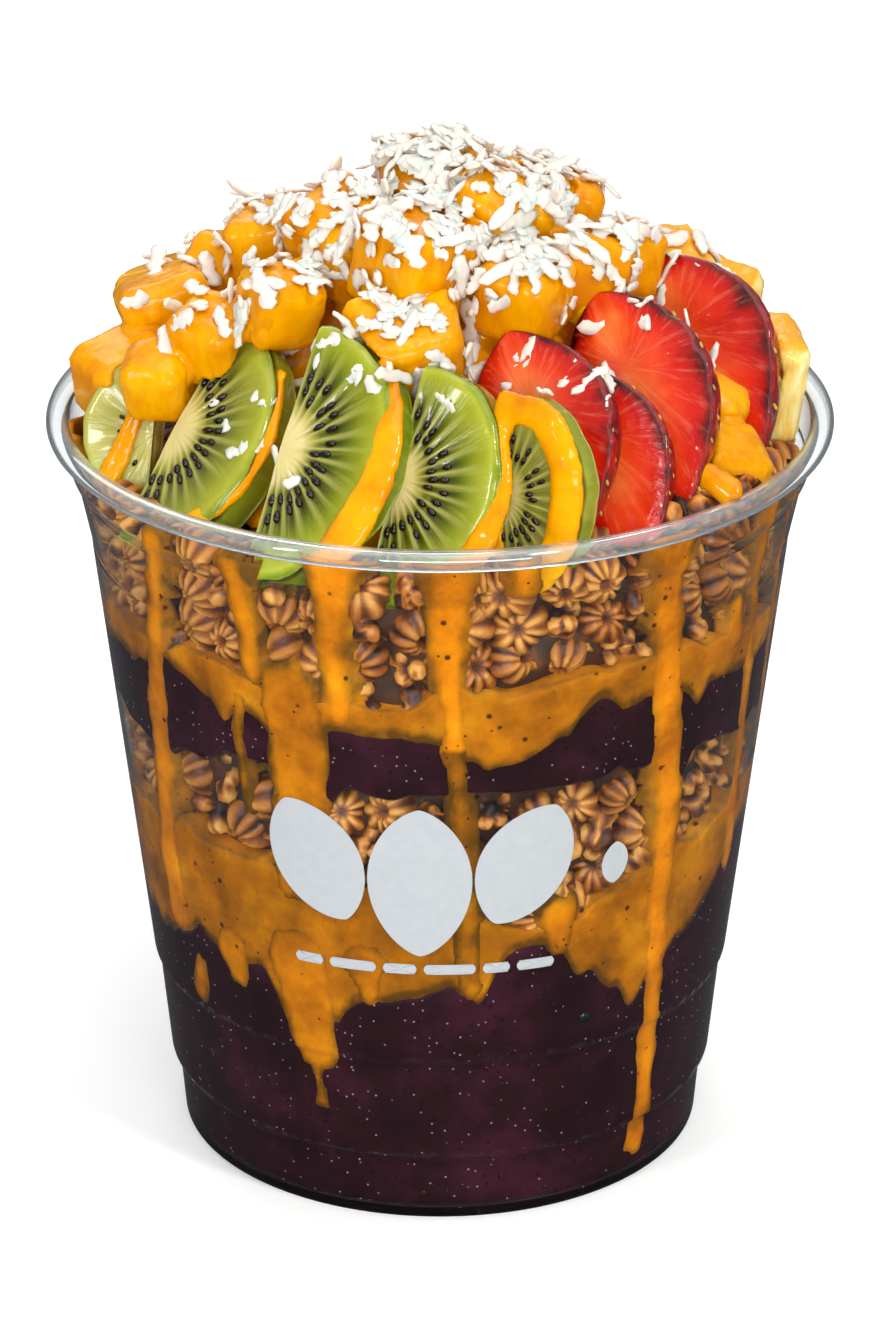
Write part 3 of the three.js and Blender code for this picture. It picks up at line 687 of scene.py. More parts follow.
def white_print():
    """Screen-printed white ink: flat cool white, faintly uneven in its cover."""
    return mottled("white_ink", 1.5, [(0.3, "#ACB1B5"), (0.7, "#B1B6BA")], Roughness=0.4)


def air_pocket_shade():
    """A small air bubble against the wall: a solid piece painted near black and grey-green as the shade
    inside the hollow in the acai behind it, shiny from its low roughness.
    """
    return mottled("air_pocket_shade", 2.0, [(0.4, "#0C1416"), (0.65, "#2A3A3C")], Roughness=0.12)


def pale_floor():
    """A matt white sweep that glows a little, so that shadows stay pale. Anything shiny mirrors it as
    dark grey, so that the cup's wall stays clear."""
    material, tree, surface, place = new_finish("pale_floor")
    even = add(tree, "ShaderNodeTexNoise", {"Vector": place, "Scale": per(300)})
    tone = add(tree, "ShaderNodeValToRGB", {"Fac": even.outputs["Fac"]},
               stops=[(0.3, "#F7F7F6"), (0.7, "#FAFAFA")])
    mirrored = add(tree, "ShaderNodeMath", {0: add(tree, "ShaderNodeLightPath").outputs["Glossy Depth"],
                                            1: 0.5}, operation="GREATER_THAN")
    seen = add(tree, "ShaderNodeMix", {0: mirrored.outputs["Value"], 6: tone.outputs["Color"],
                                       7: linear("#46474A")}, data_type="RGBA")
    tree.links.new(seen.outputs[2], surface.inputs["Base Color"])
    set_surface(surface, Roughness=0.9, Specular_IOR_Level=0.1, Emission_Strength=0.16)
    tree.links.new(seen.outputs[2], surface.inputs["Emission Color"])
    return material


PET = clear_pet()
ACAI = acai_puree()
SAUCE_AT_WALL = sauce_behind_wall()
SAUCE = wet_sauce()
MANGO = mango_flesh()
PINEAPPLE = pineapple_flesh()
KIWI = kiwi_flesh()
KIWI_SEED = kiwi_seed()
STRAWBERRY = strawberry_flesh()
STRAWBERRY_SEED = strawberry_seed()
GRANOLA = toasted_granola()
SHADED_GRANOLA_BED = shaded_granola_bed()
COCONUT = coconut_shred()
PRINT = white_print()
BUBBLE_SHADE = air_pocket_shade()
FLOOR = pale_floor()

# ---------------------------------------------------------------- the cup


def rounded(outline, radius):
    """Outline points with each corner turned into a short curve of three steps."""
    result = [outline[0]]
    for before, corner, after in zip(outline, outline[1:], outline[2:]):
        before, corner, after = map(np.array, (before, corner, after))
        back, on = before - corner, after - corner
        cut = min(radius, np.linalg.norm(back) * 0.45, np.linalg.norm(on) * 0.45)
        start = corner + back / np.linalg.norm(back) * cut
        end = corner + on / np.linalg.norm(on) * cut
        for t in (0, 1 / 3, 2 / 3, 1):
            result.append(tuple((1 - t) ** 2 * start + 2 * t * (1 - t) * corner + t * t * end))
    result.append(outline[-1])
    return result


def revolve(outline, segments):
    """Points and faces of an outline of (radius, height) turned round Z, closed where it meets the axis."""
    angles = np.arange(segments) * 360 / segments
    radii, heights = np.array(outline[1:-1]).T[:, :, None]
    rings = polar(radii, angles, heights).reshape(-1, 3)
    ends = [[0, 0, outline[0][1]], [0, 0, outline[-1][1]]]
    return np.vstack([rings, ends]), tube_faces(len(outline) - 2, segments)


def rim_curl(radius, start, end):
    """One side of the rolled rim's section, as an arc of 16 points."""
    angles = np.radians(np.linspace(start, end, 16))
    return [(RIM_RADIUS + radius * np.cos(a), RIM_HEIGHT + radius * np.sin(a)) for a in angles]


def make_cup():
    """The cup from its foot ring up the outside, over the open curl and down the inside to its floor."""
    bead_rise, bead_half = 0.06, 0.5
    outer = [p for p in OUTER_WALL if p[0] not in BEADS]
    for height in BEADS:
        radius = float(outer_radius(height))
        outer += [(height - bead_half, radius), (height, radius + bead_rise), (height + bead_half, radius)]
    outer.sort()
    inner = [(r - WALL, h) for h, r in reversed(outer) if h > FLOOR_TOP]
    floor_corner = float(outer_radius(FLOOR_TOP)) - WALL
    curl_end = 180 - CURL_SWEEP
    outline = [(0, FOOT_RECESS), (FOOT_INNER, FOOT_RECESS), (FOOT_FLAT, 0), (FOOT_OUTER, 0)]
    outline += [(r, h) for h, r in outer]
    outline = rounded(outline, 0.8)
    outline += rim_curl(CURL_INNER, 180, curl_end) + rim_curl(CURL_OUTER, curl_end, 180)
    outline += rounded(inner + [(floor_corner, FLOOR_TOP), (0, FLOOR_TOP)], 0.5)
    points, faces = revolve(outline, 160)
    off_curl = np.hypot(np.hypot(points[:, 0], points[:, 1]) - RIM_RADIUS, points[:, 2] - RIM_HEIGHT)
    piece("cup_shell", points, faces, PET, "clear_pet", ["cup"],
          {"curl": (off_curl < CURL_OUTER + 0.1).astype(float)}, sharp=50)


make_cup()

# ---------------------------------------------------------------- the layers

# Finer lobes along the boundaries: drips, frayed edges and the lumps of puffs.
DRIP_EDGE = fine_lobes(3, 46, (1.6, 4.2), (-3.2, 0.4))
FRAYED = fine_lobes(2, 110, (0.7, 1.9), (-1.3, 0.9))
ACAI_EDGE = DRIP_EDGE + FRAYED + [(-52, 5, 2.5), (-37, 8, 6.0), (-26, 5, 2.5), (-15.5, 6, 3.0)]
LUMPY_FOOT = fine_lobes(5, 60, (1.6, 3.4), (-1.6, 2.4))
LUMPY_TOP = fine_lobes(6, 60, (1.6, 3.2), (-2.2, 1.6))
SOFT_EDGE = fine_lobes(7, 44, (1.8, 4.6), (-2.6, 1.0)) + FRAYED
UPPER_EDGE = fine_lobes(8, 60, (1.8, 3.4), (-1.2, 2.6))
TOP_EDGE = fine_lobes(9, 40, (2.0, 5.0), (-1.5, 1.5))


def layer(name, foot, top, into_wall, material, slot, rounding, rows=18, lumps=0.0, murk=0.0):
    """A layer that runs right through the cup. foot and top are its heights at the wall, column by
    column; murk is how thin it looks all over."""
    top = np.maximum(top, foot + 0.3)
    heights = foot + (top - foot) * np.linspace(0, 1, rows)[:, None]
    to_edge = np.minimum(heights - foot, top - heights)
    nearness = 1 - np.clip(to_edge / rounding, 0, 1)
    pull = rounding * (1 - np.sqrt(np.clip(1 - nearness ** 2, 0, 1)))
    radii = inner_radius(heights) + into_wall - pull
    if lumps:
        across = np.broadcast_to(ALL_ROUND, heights.shape)
        radii = radii + lumps * wall_noise(across, heights, (0.1, 0.14), 3.0)
    rings = list(polar(radii, ALL_ROUND, heights))
    from_edge = np.minimum(heights - foot, top - heights + 1.8)
    thin = np.clip(murk + 0.9 - from_edge / 2.6, murk, 1)

    def inward(edge, shares):
        """Rings that close an end, flatter towards the middle."""
        mean = edge.mean()
        return [polar(s * inner_radius(mean), ALL_ROUND, mean + (edge - mean) * s) for s in shares]

    shares = (0.45, 0.8, 0.94)
    ends = [[0, 0, foot.mean()], [0, 0, top.mean()]]
    points = np.vstack(inward(foot, shares) + rings + inward(top, shares[::-1]) + [ends])
    faces = tube_faces(rows + 2 * len(shares), COLUMNS)
    none = np.zeros(COLUMNS * len(shares))
    marks = {"thin": np.concatenate([none, thin.ravel(), none, [0, 0]])}
    piece(name, points, faces, material, slot, [name.replace("_layer", "")], marks)


def level(height):
    """A flat boundary."""
    return np.full(COLUMNS, float(height))


def edge(profile, extra, lift=0.0):
    """A lobed boundary, raised or lowered."""
    return boundary(profile, ALL_ROUND, extra) + lift


# How far the acai reaches up behind the sauce above it.
OVERLAP = 0.9
layer("acai_base_layer", level(FLOOR_TOP - 0.1), edge(ACAI_TOP, ACAI_EDGE, OVERLAP), INTO_WALL_ACAI,
      ACAI, "acai", 0.3, rows=30)
layer("mango_sauce_lower_layer", edge(ACAI_TOP, ACAI_EDGE), edge(GRANOLA_FOOT, LUMPY_FOOT),
      INTO_WALL_SAUCE, SAUCE_AT_WALL, "mango_sauce", 0.5, murk=0.5)
# The granola layer is a bed painted dark as the shade between its puffs.
layer("granola_lower_layer", edge(GRANOLA_FOOT, LUMPY_FOOT, -2.5), edge(GRANOLA_TOP, LUMPY_TOP, 2.0),
      INTO_WALL_BED, SHADED_GRANOLA_BED, "granola", 0.5, rows=12, lumps=2.2)
layer("acai_middle_layer", edge(GRANOLA_TOP, LUMPY_TOP), edge(MIDDLE_TOP, SOFT_EDGE, OVERLAP),
      INTO_WALL_ACAI, ACAI, "acai", 0.5)
layer("mango_sauce_upper_layer", edge(MIDDLE_TOP, SOFT_EDGE), edge(UPPER_FOOT, UPPER_EDGE),
      INTO_WALL_SAUCE, SAUCE_AT_WALL, "mango_sauce", 0.5, murk=0.42)
# The granola layer is a bed painted dark as the shade between its puffs.
layer("granola_upper_layer", edge(UPPER_FOOT, UPPER_EDGE, -2.5), edge(UPPER_TOP, TOP_EDGE, -1.5),
      INTO_WALL_BED, SHADED_GRANOLA_BED, "granola", 0.5, rows=14, lumps=2.2)

# ---------------------------------------------------------------- sauce run down inside the wall

# Each run: (angle, height, half width) down its length, then how thin it is.
FRONT_RUNS = [
    ([(-49.5, 109, 3.0), (-53.0, 96, 2.9), (-56.2, 80, 3.1), (-58.5, 62, 3.6), (-60.0, 44, 3.8)], 0.05),
    ([(-53.5, 36.5, 2.8), (-54.4, 32.0, 3.2)], 0.25),
    ([(-27.5, 44, 6.6), (-26.4, 37, 5.8), (-25.4, 31, 5.2), (-25.0, 28.5, 4.7)], 0.3),
    ([(-25.2, 25.0, 2.2), (-24.6, 19.5, 2.0), (-22.8, 18.5, 1.5)], 0.6),
    ([(-14, 45, 5.0), (-13.2, 41.0, 3.6)], 0.35),
    ([(22, 53, 4.2), (22.3, 48, 3.2)], 0.3),
    ([(-43, 43, 4.6), (-42, 38.5, 3.4)], 0.3),
    ([(-53.9, 20.0, 1.2), (-56.5, 22.5, 1.5)], 0.7),
    ([(-33.0, 109, 3.0), (-31.9, 99, 2.6), (-31.9, 92, 2.5)], 0.15),
    ([(-25.5, 90, 5.6), (-24.5, 80, 6.0), (-25.0, 70, 5.2), (-26.0, 58, 5.0)], 0.3),
    ([(-35.0, 87, 2.6), (-36.0, 78, 2.0), (-35.5, 68, 1.6)], 0.45),
    ([(-16.0, 115, 5.0), (-16.6, 109, 3.6), (-17.4, 99, 2.5), (-16.4, 87.6, 2.9)], 0.0),
    ([(1.2, 115, 4.2), (1.8, 99, 3.1), (2.2, 83, 3.0)], 0.0),
    ([(2.3, 82, 2.8), (3.6, 68, 2.9), (4.8, 52, 3.4), (5.5, 42.5, 3.7)], 0.55),
    ([(12.0, 115, 2.8), (12.4, 109, 2.4)], 0.0),
    ([(37.3, 115, 4.2), (38.6, 104, 3.6), (40.2, 93, 3.4), (43.2, 68, 3.4), (45.0, 42, 3.3),
      (47.4, 14, 3.2), (48.0, 7.6, 4.1)], 0.0),
    ([(61.0, 112, 2.4), (62.0, 104, 2.2), (65.0, 79, 2.3), (67.3, 60, 2.6), (67.8, 50, 3.0)], 0.08),
    ([(71.0, 112, 2.4), (73.0, 100, 2.2), (76.5, 83, 2.6), (79.0, 66, 2.4)], 0.2),
    ([(57.0, 96, 3.2), (58.0, 90, 2.8)], 0.1),
]
BACK_RUNS = [
    ([(104, 112, 3.2), (106, 92, 2.8), (109, 66, 3.0), (110, 48, 2.6)], 0.05),
    ([(131, 113, 2.8), (130, 98, 2.4), (128, 86, 2.9)], 0.1),
    ([(157, 114, 3.8), (159, 88, 3.2), (161, 58, 3.0), (161, 26, 2.6), (161, 18, 2.9)], 0.0),
    ([(186, 113, 2.8), (187, 98, 2.6), (188, 88, 3.0)], 0.1),
    ([(213, 114, 3.4), (214, 90, 3.0), (212, 62, 3.2), (211, 47, 3.4)], 0.1),
    ([(243, 112, 2.6), (244, 96, 2.4), (246, 84, 2.8)], 0.2),
    ([(272, 113, 3.4), (270, 84, 3.0), (269, 55, 2.8), (268, 33, 3.1)], 0.05),
]


def run_depths(arc, height, waver):
    """How far inside the nearest run each place lies, and how thin that run is."""
    depth = np.full(arc.shape, -9.0)
    thin = np.zeros(arc.shape)
    full_arc = 2 * np.pi * MEAN_RADIUS
    for run, weak in FRONT_RUNS + BACK_RUNS:
        for (a0, z0, w0), (a1, z1, w1) in zip(run, run[1:]):
            x0, x1 = np.radians(a0) * MEAN_RADIUS, np.radians(a1) * MEAN_RADIUS
            x = (arc - x0 + full_arc / 2) % full_arc - full_arc / 2
            dx, dz = x1 - x0, z1 - z0
            t = np.clip((x * dx + (height - z0) * dz) / (dx * dx + dz * dz), 0, 1)
            away = np.hypot(x - t * dx, height - z0 - t * dz)
            here = w0 + (w1 - w0) * t - away - weak * 4.5 * np.clip(waver + 0.1, 0, 1)
            blend = np.clip(0.5 + (here - depth) / 3.0, 0, 1)
            thin = np.where(here > depth, weak, thin)
            depth = here * blend + depth * (1 - blend) + 0.75 * blend * (1 - blend)
    return depth, thin


def make_runs():
    """The film of sauce on the wall: a grid over the wall, kept where the runs lie and rounded at
    their edges."""
    step, edge_depth, film = 0.78, -0.8, 1.0
    heights = np.arange(3.2, 113.6, step)
    degrees = np.arange(-180, 180, np.degrees(step / MEAN_RADIUS))
    angle, height = np.meshgrid(degrees, heights)
    arc = np.radians(angle) * MEAN_RADIUS
    waver = wall_noise(arc, height, (0.28, 0.12), 7.5)
    depth, thin = run_depths(arc, height, waver)
    depth += 1.2 * waver + 0.7 * wall_noise(arc, height, (0.7, 0.35), 1.5)
    swell = np.clip((depth - edge_depth) / 2.3, 0, 1)
    radius = inner_radius(height) + INTO_WALL_DRIP - 3.0 * (1 - swell) ** 2

    # A cell is kept when its four corners lie in a run, and a point when it belongs to a kept cell.
    kept = depth > edge_depth
    kept_cell = kept & np.roll(kept, -1, 1)
    kept_cell = kept_cell[:-1] & kept_cell[1:]
    used = np.zeros(angle.shape, bool)
    for rows, columns in ((0, 0), (0, 1), (1, 0), (1, 1)):
        used |= np.roll(np.pad(kept_cell, ((0, 1), (0, 0))), (rows, columns), (0, 1))
    total = used.sum()
    index = np.full(angle.shape, -1)
    index[used] = np.arange(total)
    front = polar(radius[used], angle[used], height[used])
    back = polar(radius[used] - film, angle[used], height[used])
    faces, edges = [], {}
    for row, column in zip(*np.nonzero(kept_cell)):
        following = (column + 1) % angle.shape[1]
        a, b = index[row, column], index[row, following]
        d, c = index[row + 1, column], index[row + 1, following]
        faces += [(a, b, c, d), (a + total, d + total, c + total, b + total)]
        edges.update(dict.fromkeys([(a, b), (b, c), (c, d), (d, a)]))
    faces += [(q, p, p + total, q + total) for p, q in edges if (q, p) not in edges]
    near_edge = np.clip(1 - (depth[used] - 0.7) / 1.5, 0, 1)
    thinness = np.clip(thin[used] + near_edge * 0.7, 0, 1)
    piece("mango_sauce_runs", np.vstack([front, back]), faces, SAUCE_AT_WALL, "mango_sauce",
          marks={"thin": np.concatenate([thinness, thinness])})


make_runs()

# ---------------------------------------------------------------- granola pieces

PUFF_PITCH = 7.3
PUFF_SIZES = (3.7, 5.0)
ROASTS = (0.1, 0.2, 0.3, 0.45, 0.8)


def unit_sphere(rings, segments):
    """Directions and faces of a globe with poles on Z."""
    down = np.linspace(0, np.pi, rings + 2)[1:-1]
    around = np.arange(segments) * 2 * np.pi / segments
    p, a = np.meshgrid(down, around, indexing="ij")
    points = np.stack([np.sin(p) * np.cos(a), np.sin(p) * np.sin(a), np.cos(p)], -1).reshape(-1, 3)
    points = np.vstack([points, [[0, 0, 1], [0, 0, -1]]])
    return points, [tuple(reversed(face)) for face in tube_faces(rings, segments)]


def rosette(chance):
    """A puff of 9 or 10 plump petals round a dimple, 1 mm in radius. Returns points, faces and painted
    shade: dark in the grooves and the dimple, and darker towards the rim.
    """
    petals = chance.choice((9, 10, 10))
    directions, faces = unit_sphere(8, 40)
    around = np.arctan2(directions[:, 1], directions[:, 0])
    flat = np.sqrt(np.clip(1 - directions[:, 2] ** 2, 0, 1))
    sizes = np.array([chance.uniform(0.82, 1.12) for _ in range(petals)])
    which = (around / (2 * np.pi) * petals + 0.2 * np.sin(around * 2 + chance.uniform(0, 6))) % petals
    ridge = np.abs(np.sin(np.pi * which)) ** 0.34
    grow = sizes[np.floor(which).astype(int) % petals]
    groove_shade = (1 - ridge) * np.clip(flat * 1.6, 0, 1)
    dimple = np.exp(-(flat / 0.2) ** 2)
    radius = (1 - 0.3 * groove_shade) * (1 + (grow - 1) * flat)
    points = directions * radius[:, None]
    points[:, 2] *= chance.uniform(0.6, 0.8)
    points[:, 2] *= 1 - 0.55 * dimple
    # Colour darker towards the puff's rim.
    darker_rim = np.clip(flat - 0.55, 0, 1) * 0.9
    # Painted shade in the grooves between petals and in the dimple, with the darker rim added.
    return points, faces, np.clip(groove_shade * 1.3 + 0.9 * dimple + darker_rim * (1 - ridge * 0.4), 0, 1)


def cluster(chance):
    """A knot of small puffed grains stuck together, 1 mm in radius, each grain with a crease. Returns
    points, faces and painted shade in the hollows between grains and along the creases.
    """
    directions, faces = unit_sphere(14, 22)
    count = chance.randint(12, 17)
    best = np.full(len(directions), 0.4)
    second = np.full(len(directions), 0.4)
    crease = np.zeros(len(directions))
    for _ in range(count):
        centre = np.array([chance.gauss(0, 1) for _ in range(3)])
        centre *= chance.uniform(0.58, 0.7) / np.linalg.norm(centre)
        size = chance.uniform(0.27, 0.4)
        along = directions @ centre
        root = along ** 2 - centre @ centre + size ** 2
        reach = np.where(root > 0, along + np.sqrt(np.clip(root, 0, None)), 0.4)
        across = np.cross(centre, [chance.gauss(0, 1) for _ in range(3)])
        line = np.exp(-((directions @ (across / np.linalg.norm(across))) / 0.07) ** 2)
        crease = np.where(reach > best, line, crease)
        second = np.maximum(second, np.minimum(best, reach))
        best = np.maximum(best, reach)
    best -= 0.05 * crease
    # Painted shade: dark where grains meet, in the low hollows between them and along each crease.
    groove_shade = np.clip(1 - (best - second) / 0.2, 0, 1) * 0.8 + np.clip((0.8 - best) / 0.35, 0, 1) * 0.5
    stretch = np.array([chance.uniform(0.88, 1.12) for _ in range(3)])
    return directions * best[:, None] * stretch, faces, np.clip(groove_shade + 0.45 * crease, 0, 1)


def granola_spots(low, high, seed):
    """Places for puffs against the wall in staggered rows: angle, height and size."""
    chance = random.Random(seed)
    spots = []
    row = 0
    height = low.min() + 0.5
    while height < high.max():
        count = round(2 * math.pi * float(inner_radius(height)) / PUFF_PITCH)
        for i in range(count):
            degrees = (i + 0.5 * (row % 2) + chance.uniform(-0.16, 0.16)) * 360 / count - 180
            z = height + chance.uniform(-0.9, 0.9)
            column = int((degrees % 360) / 360 * len(low)) % len(low)
            if low[column] - 1.4 < z < high[column] - 0.6:
                spots.append((degrees, z, chance.uniform(*PUFF_SIZES)))
        height += PUFF_PITCH * 0.84
        row += 1
    return spots


def make_puffs(name, puffs):
    """One piece of placed puffs, each given as points, faces, painted groove shade and how roasted it is."""
    points, faces = joined([puff[:2] for puff in puffs])
    marks = {"groove_shade": np.concatenate([groove_shade for _, _, groove_shade, _ in puffs]),
             "roast": np.concatenate([np.full(len(groove_shade), roast) for _, _, groove_shade, roast in puffs])}
    piece(name, points, faces, GRANOLA, "granola", marks=marks)


def make_granola(band, spots, seed):
    """Rosettes and clusters at those spots, each kind joined in one piece."""
    chance = random.Random(seed)
    shapes = {"rosettes": [], "clusters": []}
    for spot in spots:
        kind = "rosettes" if chance.random() < 0.6 else "clusters"
        shapes[kind].append((spot, rosette(chance) if kind == "rosettes" else cluster(chance)))
    for kind, items in shapes.items():
        puffs = []
        for (degrees, height, size), (shape, faces, groove_shade) in items:
            tilt = rotation(chance.gauss(0, 0.42), "X") @ rotation(chance.gauss(0, 0.42), "Z")
            spin = rotation(chance.uniform(0, FULL_TURN), "Z")
            facing_out = rotation(math.radians(90), "X")
            turned = np.array(rotation(math.radians(degrees), "Z") @ tilt @ facing_out @ spin)
            local = shape @ turned.T * size
            outward = polar(1.0, degrees, 0.0)
            reach = (local @ outward).max()
            radius = float(inner_radius(height)) + INTO_WALL_GRANOLA - reach - chance.uniform(0, 0.5)
            placed = local + outward * radius + np.array([0, 0, height])
            limit = inner_radius(placed[:, 2]) + INTO_WALL_GRANOLA
            placed[:, :2] *= np.minimum(1, limit / np.hypot(placed[:, 0], placed[:, 1]))[:, None]
            puffs.append((placed, faces, groove_shade, chance.choice(ROASTS)))
        make_puffs(f"{band}_{kind}", puffs)


def make_granola_top():
    """Puffs strewn over the top of the upper granola, where it shows between the fruit and the rim."""
    chance = random.Random(31)
    puffs = []
    for radius in (44, 38, 32):
        count = round(2 * math.pi * radius / 9.5)
        for i in range(count):
            degrees = (i + chance.uniform(0, 0.6)) * 360 / count
            shape, faces, groove_shade = rosette(chance) if chance.random() < 0.5 else cluster(chance)
            spin = rotation(chance.uniform(0, FULL_TURN), "Z")
            turned = np.array(rotation(chance.gauss(0, 0.5), "X") @ spin)
            height = float(boundary(UPPER_TOP, degrees, TOP_EDGE)) - chance.uniform(0.2, 1.4)
            place = polar(radius + chance.uniform(-1.5, 1.5), degrees, height)
            placed = shape @ turned.T * chance.uniform(*PUFF_SIZES) + place
            puffs.append((placed, faces, groove_shade, chance.choice(ROASTS)))
    make_puffs("granola_upper_top_puffs", puffs)


make_granola_top()
make_granola("granola_lower", granola_spots(edge(GRANOLA_FOOT, ()), edge(GRANOLA_TOP, ()), 11), 12)
make_granola("granola_upper", granola_spots(edge(UPPER_FOOT, ()), edge(UPPER_TOP, (), 2.5), 13), 14)

# ---------------------------------------------------------------- cut fruit


def cut_face(at, facing, rise, lean, scale):
    """The frame of a cut face: X across, Y along, Z out of the face."""
    out, up = math.radians(facing), math.radians(rise)
    normal = Vector((math.sin(out) * math.cos(up), -math.cos(out) * math.cos(up), math.sin(up)))
    side = Vector((math.cos(out), math.sin(out), 0))
    along = normal.cross(side)
    roll = Matrix.Rotation(math.radians(-lean), 3, normal)
    axes = Matrix((roll @ side, roll @ along, normal)).transposed().to_4x4()
    return Matrix.Translation(Vector(at) * MM) @ axes @ Matrix.Scale(scale, 4)


def settled(points, place):
    """Points of a cut face's frame, set in the shared frame and pressed inside the cup's room."""
    world = np.array(place)
    return keep_in_room(points @ world[:3, :3].T + world[:3, 3] / MM)


def seed_body(centre, out, normal, length, width, thick):
    """Points and faces of a seed: a small drop, pointed towards -out."""
    directions, faces = unit_sphere(4, 7)
    taper = 1 - 0.35 * (directions[:, 0] < 0) * np.abs(directions[:, 0])
    across = np.cross(normal, out)
    local = (directions[:, [0]] * out * length / 2
             + (directions[:, [1]] * taper[:, None]) * across * width / 2
             + directions[:, [2]] * normal * thick / 2)
    return local + centre, faces


def core_squeeze(share):
    """How much the length counts towards reach: less near the core, which is a long oval."""
    return 0.72 + 0.28 * share


def kiwi_reach(x, y, share):
    """How far out a place on a slice lies, from 0 in the core to 1 at the skin."""
    return np.sqrt((x / KIWI_WIDTH) ** 2 + (y * core_squeeze(share) / KIWI_LENGTH) ** 2)


def kiwi_seed_spots(chance, full_gaps):
    """The seeds' turn and reach, in two rows of the gaps between rays."""
    spots = []
    for gap in range(KIWI_GAPS):
        if full_gaps < KIWI_GAPS and chance.random() > full_gaps / KIWI_GAPS:
            continue
        for middle in (0.355, 0.47):
            if chance.random() < 0.9:
                spots.append(((gap + 0.5) / KIWI_GAPS + chance.uniform(-0.012, 0.012),
                              middle + chance.uniform(-0.03, 0.03)))
    return spots


def half_sheet_faces(rows, columns, start):
    """Faces of half a disc of points, with its hub stored after them."""
    hub = start + rows * columns
    fan = [(hub, start + i * columns, start + (i + 1) * columns) for i in range(rows - 1)]
    return grid_faces(rows, columns, start=start) + fan


